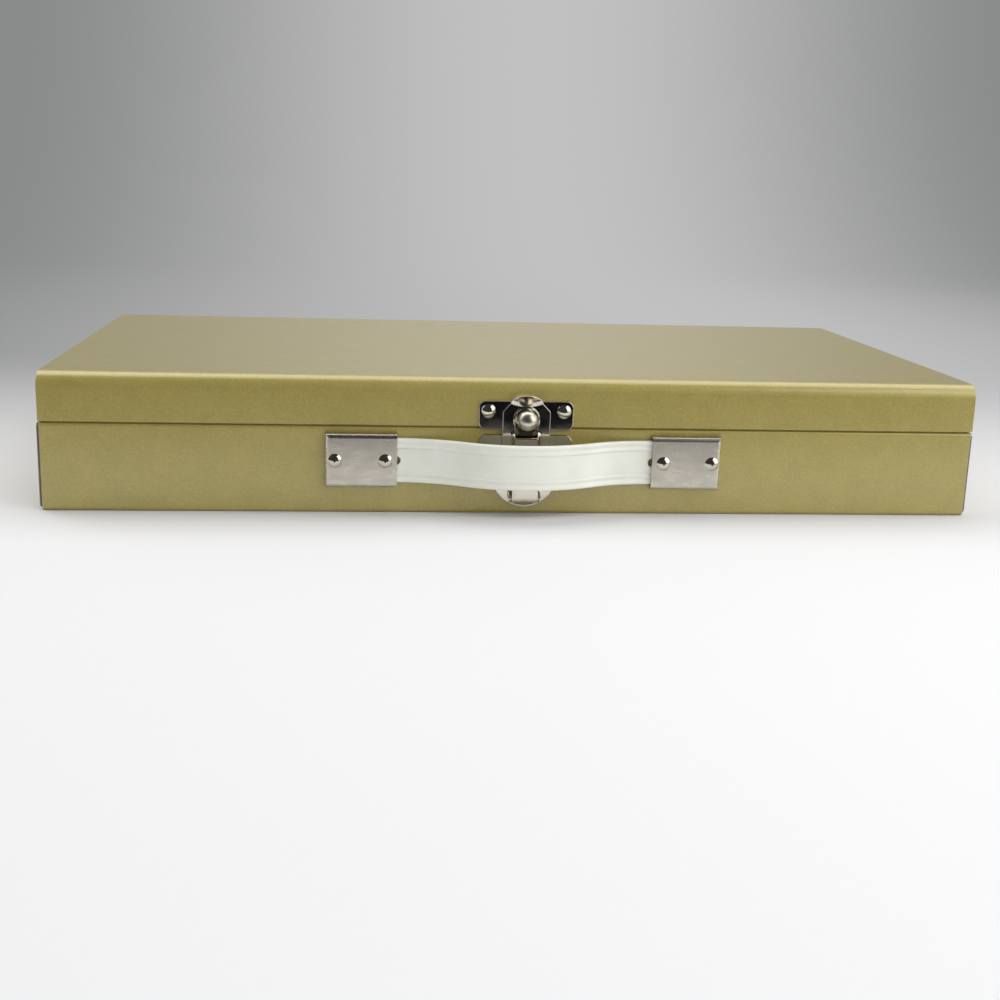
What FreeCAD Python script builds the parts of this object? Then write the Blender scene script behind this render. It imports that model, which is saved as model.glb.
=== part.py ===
"""Flat folded-steel cash box with a strap handle and a ball-stud hasp.

Millimetres. +X is to the right, +Y to the rear, +Z up. The origin is the
centre of the bottom face. The base is a folded sheet with two flanged end
panels, the lid is built the same way, and both turn on a barrel hinge behind
the rear wall. Plated hardware is riveted to the front.
"""

import math
import os

import FreeCAD
import Part
import Sketcher

Vector = FreeCAD.Vector
Rotation = FreeCAD.Rotation
Placement = FreeCAD.Placement

NEAR = 1e-3
SHEET_NAME = "dims"
X_AXIS = Vector(1, 0, 0)
Z_AXIS = Vector(0, 0, 1)
HALF_TURN = 180
QUARTER_TURN = 90

# alias, millimetres or degrees, meaning
SIZES = (
    ("case_width", 370.0, "outside width of the case"),
    ("case_depth", 202.0, "outside depth of the case"),
    ("case_height", 54.0, "height of the closed case"),
    ("seam_height", 34.5, "top of the base shoulder"),
    ("seam_gap", 0.6, "gap between shoulder and lid edge"),
    ("steel", 0.9, "thickness of the case sheet"),
    ("lid_bend", 6.0, "outside radius of the lid bends"),
    ("base_bend", 1.6, "outside radius of the base bends"),
    ("shoulder_bend", 1.2, "outside radius of the shoulder"),
    ("edge_round", 0.3, "rounding of cut sheet edges"),
    ("lip_offset", 1.5, "how far the lip is set in"),
    ("lip_height", 4.0, "lip above the shoulder"),
    ("lip_clear", 0.2, "gap between neighbouring lips"),
    ("stud_notch", 15.0, "notch in the lip behind the stud"),
    ("corner_gap", 0.4, "front wall of the base short of the lid end"),
    ("end_out", 0.9, "end face of the base beyond the lid end"),
    ("flange", 10.0, "width of the end panel flanges"),
    ("flange_bend", 1.2, "outside radius of base flange bends"),
    ("lid_end_inset", 0.3, "lid end panel inside the wrap edge"),
    ("lid_end_round", 5.3, "corner radius of the lid end panel"),
    ("lid_flange_start", 41.0, "lower end of the lid flanges"),
    ("hinge_knuckle", 2.2, "outside radius of the hinge knuckles"),
    ("hinge_pin_radius", 1.1, "radius of the hinge pin"),
    ("pin_play", 0.06, "radial clearance on pins"),
    ("hinge_leaf", 0.8, "thickness of the hinge leaves"),
    ("hinge_reach", 12.6, "leaf edge from the hinge axis"),
    ("hinge_relief", 0.4, "leaf clear of the other knuckles"),
    ("knuckle_pitch", 12.5, "spacing of the knuckles"),
    ("knuckle_play", 0.4, "axial gap between knuckles"),
    ("weld_radius", 2.4, "spot weld mark"),
    ("weld_depth", 0.15, "depth of a spot weld mark"),
    ("weld_pitch", 28.0, "spacing of spot weld marks"),
    ("hardware_x", 2.0, "middle of the front hardware"),
    ("plate", 0.9, "thickness of the plated plates"),
    ("plate_round", 0.3, "rounding of plate edges"),
    ("strike_width", 37.2, "strike plate width"),
    ("strike_low", 34.0, "strike plate lower edge"),
    ("strike_high", 45.4, "strike plate upper edge"),
    ("strike_corner", 2.6, "strike plate corner radius"),
    ("strike_rivet_x", 14.9, "strike rivets from the middle"),
    ("strike_rivet_z", 41.4, "height of the strike rivets"),
    ("stud_z", 38.5, "height of the ball stud"),
    ("ball_out", 5.2, "ball centre from the wall"),
    ("ball_radius", 4.1, "radius of the ball"),
    ("neck_radius", 2.4, "radius of the stud neck"),
    ("shank_radius", 1.5, "radius of rivet and stud shanks"),
    ("hole_play", 0.05, "shank holes over shank radius"),
    ("head_radius", 2.8, "rivet head radius"),
    ("head_height", 1.3, "rivet head height"),
    ("tail_radius", 2.3, "rivet tail radius"),
    ("tail_height", 0.7, "rivet tail height"),
    ("catch_width", 36.8, "catch plate width at its ears"),
    ("catch_high", 32.1, "catch plate upper edge"),
    ("catch_ear", 18.6, "lower end of the ears"),
    ("catch_corner", 2.8, "ear corner radius"),
    ("catch_arc", 12.9, "radius of the round lower end"),
    ("catch_arc_z", 15.8, "centre of the round lower end"),
    ("catch_join", 4.0, "start of the round end below its centre"),
    ("catch_rim", 0.8, "rim below the window that the lugs were bent out of"),
    ("catch_window", 13.5, "upper end of that window"),
    ("catch_rivet_x", 14.2, "catch rivets from the middle"),
    ("catch_rivet_z", 23.4, "height of the catch rivets"),
    ("lug_inner", 5.7, "inner face of the hinge lugs"),
    ("lug_thick", 0.5, "thickness of the hinge lugs"),
    ("lug_radius", 1.9, "rounded nose of the hinge lugs"),
    ("hasp_pin_z", 7.2, "height of the hasp pin"),
    ("hasp_pin_out", 3.3, "hasp pin from the wall"),
    ("hasp_pin_radius", 1.0, "radius of the hasp pin"),
    ("hasp_pin_end", 0.15, "hasp pin beyond the lugs"),
    ("hasp_knuckle", 2.0, "radius of the rolled hasp end"),
    ("hasp_back", 1.3, "back of the hasp from the wall"),
    ("hasp_sheet", 1.0, "thickness of the hasp"),
    ("hasp_half", 9.4, "half width of the hasp"),
    ("hasp_tail", 5.2, "half width of the hasp tail"),
    ("tail_tab", 12.0, "upper end of the straight tab in front of the pin"),
    ("tail_bend", 17.5, "where the tab meets the sheet"),
    ("tail_top", 20.0, "upper end of the narrow tail"),
    ("tail_spread", 24.0, "where the hasp is full width"),
    ("hasp_cut_z", 41.6, "start of the slanted corners"),
    ("lip_bend_z", 43.6, "bend of the thumb lip"),
    ("lip_bend_half", 7.7, "half width at the lip bend"),
    ("lip_side_half", 6.2, "half width where the arch starts"),
    ("lip_side_long", 2.2, "arch start from the lip bend"),
    ("lip_long", 5.5, "length of the thumb lip"),
    ("lip_tilt", 35.0, "thumb lip outward tilt in degrees"),
    ("hole_radius", 4.5, "hole over the ball"),
    ("collar_radius", 5.1, "outside radius of the collar"),
    ("collar_height", 1.0, "collar above the hasp"),
    ("rib_foot", 6.05, "half width of the rib foot"),
    ("rib_face", 4.15, "half width of the rib face"),
    ("rib_low", 18.0, "lower end of the rib"),
    ("rib_mouth", 31.5, "open upper end of the rib face"),
    ("rib_shoulder", 34.0, "where the rib sides turn in to the hole"),
    ("rib_high", 36.0, "upper end of the rib sides"),
    ("rib_neck", 4.4, "half width of the rib sides at their end"),
    ("rib_slope", 2.1, "run of the sloped lower rib end"),
    ("rib_height", 2.0, "rib above the hasp"),
    ("rib_wall", 1.1, "width of the rib sides"),
    ("mouth_half", 3.4, "half width of the rib mouth"),
    ("rib_tail_half", 3.1, "half width of the rib at the tail"),
    ("spring_sheet", 0.4, "thickness of the leaf spring"),
    ("spring_back", 1.4, "back of the leaf from the wall"),
    ("spring_half", 2.7, "half width of the leaf"),
    ("spring_low", 23.0, "lower end of the leaf"),
    ("spring_fork", 33.9, "root of the prongs"),
    ("spring_high", 40.8, "tips of the prongs"),
    ("prong_in", 2.55, "inner face of the prongs"),
    ("prong_out", 3.3, "outer face of the prongs"),
    ("spring_anchor_z", 26.0, "anchor rivet of the leaf"),
    ("spring_anchor", 1.1, "radius of the anchor rivet"),
    ("bracket_x", 64.4, "bracket middle from the hardware middle"),
    ("bracket_z", 21.6, "height of strap and brackets"),
    ("bracket_long", 27.9, "bracket length"),
    ("bracket_high", 21.3, "bracket height"),
    ("bracket_out", 4.0, "bracket depth"),
    ("bracket_bend", 1.8, "outside radius of the bracket bends"),
    ("rivet_inner", 55.0, "inner bracket rivets"),
    ("rivet_outer", 74.6, "outer bracket rivets"),
    ("strap_width", 17.5, "strap width"),
    ("strap_thick", 2.4, "strap thickness"),
    ("strap_out", 1.6, "strap middle from the wall in its brackets"),
    ("strap_bow", 13.1, "outward bow of the strap"),
    ("strap_mouth", 50.4, "where the strap starts to bow"),
    ("strap_end", 67.0, "strap end from the middle"),
    ("slot_inner", 49.0, "inner end of the strap slot"),
    ("slot_outer", 61.0, "outer end of the strap slot"),
    ("slot_half", 1.75, "half height of the strap slot"),
    ("groove_half", 0.45, "half width of a groove"),
    ("groove_depth", 0.35, "depth of a groove"),
    ("groove_first", 1.9, "outer groove from the strap edge"),
    ("groove_second", 4.0, "inner groove from the strap edge"),
    ("strap_edge", 0.7, "bevel along the strap edges"),
)


class Size:
    """A length together with the sheet formula that gives it."""

    def __init__(self, value, formula):
        self.value = float(value)
        self.formula = formula

    def __add__(self, other):
        other = as_size(other)
        return Size(self.value + other.value, f"({self.formula} + {other.formula})")

    def __sub__(self, other):
        other = as_size(other)
        return Size(self.value - other.value, f"({self.formula} - {other.formula})")

    def __mul__(self, other):
        other = as_size(other)
        return Size(self.value * other.value, f"({self.formula} * {other.formula})")

    def __truediv__(self, other):
        other = as_size(other)
        return Size(self.value / other.value, f"({self.formula} / {other.formula})")

    def __neg__(self):
        return Size(-self.value, f"(0 - {self.formula})")


def as_size(number):
    """A plain number as a Size, and a Size as it is."""
    return number if isinstance(number, Size) else Size(number, f"({number})")


def root(size):
    """The square root of a Size."""
    return Size(math.sqrt(size.value), f"sqrt({size.formula})")


doc = FreeCAD.newDocument("cash_box")
sheet = doc.addObject("Spreadsheet::Sheet", SHEET_NAME)
for row, (alias, amount, meaning) in enumerate(SIZES, 1):
    sheet.set(f"A{row}", meaning)
    sheet.set(f"B{row}", str(amount))
    sheet.setAlias(f"B{row}", alias)
doc.recompute()
S = {alias: Size(sheet.get(alias), f"{SHEET_NAME}.{alias}") for alias, _, _ in SIZES}
ZERO = Size(0, "0")


def bind(thing, prop, size):
    """Drive one property from the sheet."""
    thing.setExpression(prop, as_size(size).formula)


def place(thing, x=ZERO, y=ZERO, z=ZERO, turn=Rotation()):
    """Put a piece at sheet-driven coordinates."""
    thing.Placement = Placement(Vector(x.value, y.value, z.value), turn)
    for axis, size in zip("xyz", (x, y, z)):
        bind(thing, f"Placement.Base.{axis}", size)


def new_body(label, x=ZERO, y=ZERO, z=ZERO, turn=Rotation()):
    """An empty body with its own label and placement."""
    body = doc.addObject("PartDesign::Body", label)
    body.Label = label
    place(body, x, y, z, turn)
    return body


def origin_part(body, role):
    """A plane or axis of the body's own origin."""
    return next(o for o in body.Origin.OriginFeatures if o.Role == role)


def hold(sketch, geometry, position, x, y):
    """Hold one sketch point by sheet-driven distances from the origin."""
    for kind, axis, size in (("DistanceX", -2, x), ("DistanceY", -1, y)):
        if abs(size.value) < NEAR:
            sketch.addConstraint(Sketcher.Constraint("PointOnObject", geometry, position, axis))
            continue
        ends = (-1, 1, geometry, position) if size.value > 0 else (geometry, position, -1, 1)
        size = size if size.value > 0 else -size
        index = sketch.addConstraint(Sketcher.Constraint(kind, *ends, size.value))
        bind(sketch, f"Constraints[{index}]", size)


def arc_ends(sketch, geometry, start):
    """Start and end positions of an arc that begins at the given point."""
    forward = (sketch.getPoint(geometry, 1) - start).Length < NEAR
    return (1, 2) if forward else (2, 1)


def add_path(sketch, path, closed):
    """Add lines and arcs through the path's corners.

    A corner is (x, y) for a line to the next corner, or (x, y, via, radius)
    for an arc through the point via.
    """
    points = [Vector(corner[0].value, corner[1].value, 0) for corner in path]
    count = len(path) if closed else len(path) - 1
    pieces = []
    for number in range(count):
        start = points[number]
        end = points[(number + 1) % len(path)]
        if len(path[number]) == 2:
            geometry = sketch.addGeometry(Part.LineSegment(start, end))
            pieces.append((geometry, 1, 2))
        else:
            geometry = sketch.addGeometry(Part.ArcOfCircle(start, path[number][2], end))
            pieces.append((geometry, *arc_ends(sketch, geometry, start)))
            index = sketch.addConstraint(
                Sketcher.Constraint("Radius", geometry, path[number][3].value)
            )
            bind(sketch, f"Constraints[{index}]", path[number][3])
    for number, (geometry, first, last) in enumerate(pieces):
        hold(sketch, geometry, first, path[number][0], path[number][1])
        if closed or number + 1 < count:
            following = pieces[(number + 1) % count]
            sketch.addConstraint(
                Sketcher.Constraint("Coincident", geometry, last, following[0], following[1])
            )
        else:
            hold(sketch, geometry, last, path[-1][0], path[-1][1])


def draw(body, name, plane, loops=(), circles=(), path=None, out=ZERO, up=ZERO, tilt=None):
    """A sketch on one of the body's origin planes, moved along its normal."""
    sketch = body.newObject("Sketcher::SketchObject", f"{body.Name}_{name}")
    sketch.AttachmentSupport = [(origin_part(body, plane), "")]
    sketch.MapMode = "FlatFace"
    lean = Rotation(X_AXIS, tilt.value) if tilt else Rotation()
    sketch.AttachmentOffset = Placement(Vector(0, up.value, out.value), lean)
    bind(sketch, "AttachmentOffset.Base.y", up)
    bind(sketch, "AttachmentOffset.Base.z", out)
    if tilt:
        bind(sketch, "AttachmentOffset.Rotation.Angle", tilt)
    for loop in loops:
        add_path(sketch, loop, True)
    if path:
        add_path(sketch, path, False)
    for x, y, radius in circles:
        centre = Vector(x.value, y.value, 0)
        geometry = sketch.addGeometry(Part.Circle(centre, Z_AXIS, radius.value))
        hold(sketch, geometry, 3, x, y)
        index = sketch.addConstraint(Sketcher.Constraint("Radius", geometry, radius.value))
        bind(sketch, f"Constraints[{index}]", radius)
    doc.recompute()
    return sketch


def finish(body, feature):
    """Make the feature the body's tip and compute it."""
    body.Tip = feature
    doc.recompute()
    return feature


def pad(body, name, profile, length, symmetric=False):
    """Raise a profile along its sketch normal."""
    feature = body.newObject("PartDesign::Pad", f"{body.Name}_{name}")
    feature.Profile = profile
    feature.SideType = "Symmetric" if symmetric else "One side"
    bind(feature, "Length", length)
    return finish(body, feature)


def pocket(body, name, profile, length=None):
    """Cut a profile against its sketch normal, or through everything both ways."""
    before = body.Tip.Shape.Volume
    feature = body.newObject("PartDesign::Pocket", f"{body.Name}_{name}")
    feature.Profile = profile
    if length:
        bind(feature, "Length", length)
    else:
        feature.SideType = "Symmetric"
        feature.Type = "ThroughAll"
    finish(body, feature)
    if before - feature.Shape.Volume < NEAR:
        raise RuntimeError(f"{feature.Name} cuts nothing")
    return feature


def lying(**where):
    """A test for edges or faces that lie wholly at the given coordinates."""

    def test(element):
        box = element.BoundBox
        return all(
            abs(getattr(box, f"{axis.upper()}Min") - size.value) < NEAR * 10
            and abs(getattr(box, f"{axis.upper()}Max") - size.value) < NEAR * 10
            for axis, size in where.items()
        )

    return test


def chosen(elements, word, tests):
    """Names of the sub-elements that pass any of the tests."""
    names = [
        f"{word}{number}"
        for number, element in enumerate(elements, 1)
        if any(test(element) for test in tests)
    ]
    if not names:
        raise RuntimeError(f"no {word.lower()} found")
    return names


def fillet(body, name, radius, *tests):
    """Round the edges of the tip that pass any of the tests."""
    base = body.Tip
    names = chosen(base.Shape.Edges, "Edge", tests)
    feature = body.newObject("PartDesign::Fillet", f"{body.Name}_{name}")
    feature.Base = (base, names)
    bind(feature, "Radius", radius)
    return finish(body, feature)


def shell(body, name, wall, *tests):
    """Hollow the tip inwards to a wall, leaving the chosen faces open."""
    base = body.Tip
    names = chosen(base.Shape.Faces, "Face", tests)
    feature = body.newObject("PartDesign::Thickness", f"{body.Name}_{name}")
    feature.Base = (base, names)
    feature.Reversed = True
    feature.Join = "Intersection"
    bind(feature, "Value", wall)
    return finish(body, feature)


def pattern(body, name, originals, pitch, count):
    """Repeat features along X."""
    feature = body.newObject("PartDesign::LinearPattern", f"{body.Name}_{name}")
    feature.Originals = originals
    feature.Direction = (origin_part(body, "X_Axis"), [""])
    feature.Occurrences = count
    bind(feature, "Length", pitch * (count - 1))
    return finish(body, feature)


def box_loop(left, right, low, high):
    """Four corners of a rectangle."""
    return [(left, low), (right, low), (right, high), (left, high)]


HALF_W = S["case_width"] / 2
HALF_D = S["case_depth"] / 2
STEEL = S["steel"]
SEAM = S["seam_height"]
LID_EDGE = SEAM + S["seam_gap"]
LIP_TOP = SEAM + S["lip_height"]
FRONT = -HALF_D
INSIDE = HALF_D - STEEL
MIDDLE = S["hardware_x"]
SHANK_HOLE = S["shank_radius"] + S["hole_play"]
CUT = Size(2, "2")

STRIKE_RIVETS = [(MIDDLE + S["strike_rivet_x"] * side, S["strike_rivet_z"]) for side in (-1, 1)]
CATCH_RIVETS = [(MIDDLE + S["catch_rivet_x"] * side, S["catch_rivet_z"]) for side in (-1, 1)]
BRACKET_RIVETS = [
    (MIDDLE + S[name] * side, S["bracket_z"])
    for side in (-1, 1)
    for name in ("rivet_inner", "rivet_outer")
]


def wall_holes(body, spots):
    """Shank holes through the front wall of a wrap."""
    circles = [(x, z, SHANK_HOLE) for x, z in spots]
    holes = draw(body, "holes", "XZ_Plane", circles=circles, out=HALF_D + CUT)
    pocket(body, "rivet_holes", holes, STEEL + CUT + CUT)


def build_base_wrap():
    """Bottom, front and rear wall folded from one sheet, with a set-in front lip."""
    body = new_body("base_wrap")
    lip_in = FRONT + S["lip_offset"]
    section = [
        (FRONT, ZERO),
        (HALF_D, ZERO),
        (HALF_D, SEAM),
        (INSIDE, SEAM),
        (INSIDE, STEEL),
        (-INSIDE, STEEL),
        (-INSIDE, SEAM - STEEL),
        (lip_in + STEEL, SEAM - STEEL),
        (lip_in + STEEL, LIP_TOP),
        (lip_in, LIP_TOP),
        (lip_in, SEAM),
        (FRONT, SEAM),
    ]
    profile = draw(body, "section", "YZ_Plane", [section])
    pad(body, "sheet", profile, S["case_width"] - S["corner_gap"] * 2, symmetric=True)
    fillet(
        body,
        "outer_bends",
        S["base_bend"],
        lying(y=FRONT, z=ZERO),
        lying(y=HALF_D, z=ZERO),
    )
    fillet(
        body,
        "inner_bends",
        S["base_bend"] - STEEL,
        lying(y=-INSIDE, z=STEEL),
        lying(y=INSIDE, z=STEEL),
    )
    fillet(body, "shoulder", S["shoulder_bend"], lying(y=FRONT, z=SEAM))
    fillet(body, "inner_shoulder", S["shoulder_bend"] - STEEL, lying(y=-INSIDE, z=SEAM - STEEL))
    lip_end = HALF_W - S["lip_offset"] - STEEL - S["lip_clear"]
    above = LIP_TOP + CUT
    half_notch = S["stud_notch"] / 2
    cuts = [
        box_loop(-HALF_W, -lip_end, SEAM, above),
        box_loop(lip_end, HALF_W, SEAM, above),
        box_loop(MIDDLE - half_notch, MIDDLE + half_notch, SEAM, above),
    ]
    pocket(body, "lip_cuts", draw(body, "lip_outline", "XZ_Plane", cuts))
    wall_holes(body, CATCH_RIVETS + BRACKET_RIVETS)
    edge = HALF_W - S["corner_gap"]
    fillet(body, "cut_edges", S["edge_round"], lying(x=-edge, y=FRONT), lying(x=edge, y=FRONT))
    return body


def build_base_end(label, side):
    """End panel with flanges inside the wrap and a set-in lip on top."""
    body = new_body(label)
    outer = (HALF_W + S["end_out"]) * side
    inner = (HALF_W - S["flange"]) * side
    rim = SEAM - S["shoulder_bend"] - S["lip_clear"]
    left, right = (inner, outer) if side > 0 else (outer, inner)
    profile = draw(body, "outline", "XZ_Plane", [box_loop(left, right, STEEL, rim)])
    pad(body, "block", profile, INSIDE * 2, symmetric=True)
    shell(body, "panel", STEEL, lying(x=inner), lying(z=rim))
    fillet(
        body,
        "bends",
        S["flange_bend"],
        lying(x=outer, y=INSIDE),
        lying(x=outer, y=-INSIDE),
        lying(x=outer, z=STEEL),
        lying(y=INSIDE, z=STEEL),
        lying(y=-INSIDE, z=STEEL),
    )
    lip_out = (HALF_W - S["lip_offset"]) * side
    lip_in = (HALF_W - S["lip_offset"] - STEEL) * side
    wall_in = (HALF_W + S["end_out"] - STEEL) * side
    step = [
        (outer, rim),
        (outer, SEAM),
        (lip_out, SEAM),
        (lip_out, LIP_TOP),
        (lip_in, LIP_TOP),
        (lip_in, SEAM - STEEL),
        (wall_in, SEAM - STEEL),
        (wall_in, rim),
    ]
    reach = INSIDE - S["lip_offset"] - S["lip_clear"]
    pad(body, "lip", draw(body, "step", "XZ_Plane", [step]), reach * 2, symmetric=True)
    fillet(body, "shoulder", S["shoulder_bend"], lying(x=outer, z=SEAM))
    return body


def build_lid_wrap():
    """Top, front and rear of the lid folded from one sheet."""
    body = new_body("lid_wrap")
    top = S["case_height"]
    section = [
        (FRONT, LID_EDGE),
        (FRONT, top),
        (HALF_D, top),
        (HALF_D, LID_EDGE),
        (INSIDE, LID_EDGE),
        (INSIDE, top - STEEL),
        (-INSIDE, top - STEEL),
        (-INSIDE, LID_EDGE),
    ]
    profile = draw(body, "section", "YZ_Plane", [section])
    pad(body, "sheet", profile, S["case_width"], symmetric=True)
    fillet(body, "outer_bends", S["lid_bend"], lying(y=FRONT, z=top), lying(y=HALF_D, z=top))
    fillet(
        body,
        "inner_bends",
        S["lid_bend"] - STEEL,
        lying(y=-INSIDE, z=top - STEEL),
        lying(y=INSIDE, z=top - STEEL),
    )
    wall_holes(body, STRIKE_RIVETS + [(MIDDLE, S["stud_z"])])
    fillet(
        body,
        "cut_edges",
        S["edge_round"],
        lying(y=FRONT, z=LID_EDGE),
        lying(x=-HALF_W, y=FRONT),
        lying(x=HALF_W, y=FRONT),
    )
    return body


def build_lid_end(label, side):
    """End panel of the lid with flanges along its front, top and rear."""
    body = new_body(label)
    outer = (HALF_W - S["lid_end_inset"]) * side
    inner = (HALF_W - S["lid_end_inset"] - S["flange"]) * side
    wall_in = (HALF_W - S["lid_end_inset"] - STEEL) * side
    top = S["case_height"] - STEEL
    left, right = (inner, outer) if side > 0 else (outer, inner)
    profile = draw(body, "outline", "XZ_Plane", [box_loop(left, right, LID_EDGE, top)])
    pad(body, "block", profile, INSIDE * 2, symmetric=True)
    shell(body, "panel", STEEL, lying(x=inner), lying(z=LID_EDGE))
    hollow = INSIDE - STEEL
    ceiling = top - STEEL
    corners = (lying(y=-hollow, z=ceiling), lying(y=hollow, z=ceiling))
    fillet(body, "inner_corners", S["lid_end_round"] - STEEL, *corners)
    corners = (lying(y=-INSIDE, z=top), lying(y=INSIDE, z=top))
    fillet(body, "corners", S["lid_end_round"], *corners)
    left, right = (inner, wall_in) if side > 0 else (wall_in, inner)
    low = LID_EDGE - CUT
    trim = draw(body, "trim", "XZ_Plane", [box_loop(left, right, low, S["lid_flange_start"])])
    pocket(body, "flange_ends", trim)
    return body


KNUCKLES = 27
WELDS = 12
HINGE_Z = SEAM + S["seam_gap"] / 2


def build_hinge_leaf(label, way, first, count):
    """Leaf on the rear wall with every second knuckle of the barrel.

    Built looking at the rear wall: the local origin is on the wall at the
    hinge axis height, way is +1 for the leaf above the axis.
    """
    body = new_body(label, ZERO, HALF_D, HINGE_Z, Rotation(Z_AXIS, HALF_TURN))
    knuckle = S["hinge_knuckle"]
    leaf = S["hinge_leaf"]
    half = S["knuckle_pitch"] * KNUCKLES / 2
    root = (knuckle + S["hinge_relief"]) * way
    reach = S["hinge_reach"] * way
    low, high = (root, reach) if way > 0 else (reach, root)
    pad(body, "leaf", draw(body, "leaf_outline", "XZ_Plane", [box_loop(-half, half, low, high)]), leaf)
    start = -half + S["knuckle_pitch"] * first + S["knuckle_play"] / 2
    long = S["knuckle_pitch"] - S["knuckle_play"]
    low, high = (ZERO, root + CUT) if way > 0 else (root - CUT, ZERO)
    tab = pad(
        body,
        "tab",
        draw(body, "tab_outline", "XZ_Plane", [box_loop(start, start + long, low, high)]),
        leaf,
    )
    ring = draw(body, "ring", "YZ_Plane", circles=[(-knuckle, ZERO, knuckle)], out=start)
    roll = pad(body, "knuckle", ring, long)
    pattern(body, "knuckles", [tab, roll], S["knuckle_pitch"] * 2, count)
    bore = S["hinge_pin_radius"] + S["pin_play"]
    pocket(body, "bore", draw(body, "bore_ring", "YZ_Plane", circles=[(-knuckle, ZERO, bore)]))
    mark_x = S["weld_pitch"] * (1 - WELDS) / 2
    mark_z = (root + reach) / 2
    mark = draw(
        body,
        "weld_ring",
        "XZ_Plane",
        circles=[(mark_x, mark_z, S["weld_radius"])],
        out=leaf,
    )
    dimple = pocket(body, "weld", mark, S["weld_depth"])
    pattern(body, "welds", [dimple], S["weld_pitch"], WELDS)
    return body


def primitive(kind, name, **sizes):
    """A solid primitive with sheet-driven sizes."""
    solid = doc.addObject(kind, name)
    for prop, size in sizes.items():
        bind(solid, prop, size)
    return solid


def front_cylinder(name, radius, x, z, near, far):
    """A cylinder that stands on the front wall, from one distance out to another."""
    solid = primitive("Part::Cylinder", name, Radius=radius, Height=far - near)
    place(solid, x, FRONT - near, z, Rotation(X_AXIS, QUARTER_TURN))
    return solid


def fused(label, solids):
    """One solid made of several overlapping primitives."""
    union = doc.addObject("Part::MultiFuse", label)
    union.Label = label
    union.Shapes = solids
    union.Refine = True
    doc.recompute()
    return union


def build_hinge_pin():
    """Plain pin through all knuckles."""
    long = S["knuckle_pitch"] * KNUCKLES
    pin = primitive("Part::Cylinder", "hinge_pin", Radius=S["hinge_pin_radius"], Height=long)
    pin.Label = "hinge_pin"
    turn = Rotation(Vector(0, 1, 0), QUARTER_TURN)
    place(pin, -long / 2, HALF_D + S["hinge_knuckle"], HINGE_Z, turn)
    doc.recompute()
    return pin


def build_rivets(label, spots, seat):
    """Domed rivets with their heads on a seat this far out and clinched tails inside."""
    head = S["head_radius"]
    rise = S["head_height"]
    ball = (head * head + rise * rise) / (rise * 2)
    ratio = (ball - rise) / ball
    lowest = Size(math.degrees(math.asin(ratio.value)), f"asin({ratio.formula})")
    rivets = []
    for number, (x, z) in enumerate(spots):
        dome = primitive("Part::Sphere", f"{label}_dome_{number}", Radius=ball, Angle1=lowest)
        place(dome, x, FRONT - (seat - (ball - rise)), z, Rotation(X_AXIS, QUARTER_TURN))
        tail_end = -(STEEL + S["tail_height"])
        name = f"{label}_{number}"
        shank = front_cylinder(f"{name}_shank", S["shank_radius"], x, z, tail_end, seat)
        tail = front_cylinder(f"{name}_tail", S["tail_radius"], x, z, tail_end, -STEEL)
        rivets.append(fused(name, [dome, shank, tail]))
    group = doc.addObject("Part::Compound", label)
    group.Label = label
    group.Links = rivets
    doc.recompute()
    return group


def build_ball_stud():
    """Ball on a neck, riveted through strike plate and lid."""
    ball = primitive("Part::Sphere", "stud_ball", Radius=S["ball_radius"])
    place(ball, MIDDLE, FRONT - S["ball_out"], S["stud_z"], Rotation(X_AXIS, QUARTER_TURN))
    spot = (MIDDLE, S["stud_z"])
    tail_end = -(STEEL + S["tail_height"])
    neck = front_cylinder("stud_neck", S["neck_radius"], *spot, S["plate"], S["ball_out"])
    shank = front_cylinder("stud_shank", S["shank_radius"], *spot, tail_end, S["ball_out"])
    tail = front_cylinder("stud_tail", S["tail_radius"], *spot, tail_end, -STEEL)
    return fused("ball_stud", [ball, neck, shank, tail])


def hardware_body(label):
    """A body whose local origin is on the front wall, below the middle of the hardware."""
    return new_body(label, MIDDLE, FRONT, ZERO)


def plate_holes(body, spots):
    """Shank holes through a plate, at spots measured from the hardware middle."""
    circles = [(x, z, SHANK_HOLE) for x, z in spots]
    pocket(body, "holes", draw(body, "hole_rings", "XZ_Plane", circles=circles))


def build_strike_plate():
    """Rounded plate on the lid front that carries the ball stud."""
    body = hardware_body("strike_plate")
    half = S["strike_width"] / 2
    low = S["strike_low"]
    high = S["strike_high"]
    pad(body, "sheet", draw(body, "outline", "XZ_Plane", [box_loop(-half, half, low, high)]), S["plate"])
    corners = [lying(x=x, z=z) for x in (-half, half) for z in (low, high)]
    fillet(body, "corners", S["strike_corner"], *corners)
    fillet(body, "edge", S["plate_round"], lying(y=-S["plate"]))
    spots = [(S["strike_rivet_x"] * side, S["strike_rivet_z"]) for side in (-1, 1)]
    plate_holes(body, spots + [(ZERO, S["stud_z"])])
    return body


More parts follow.
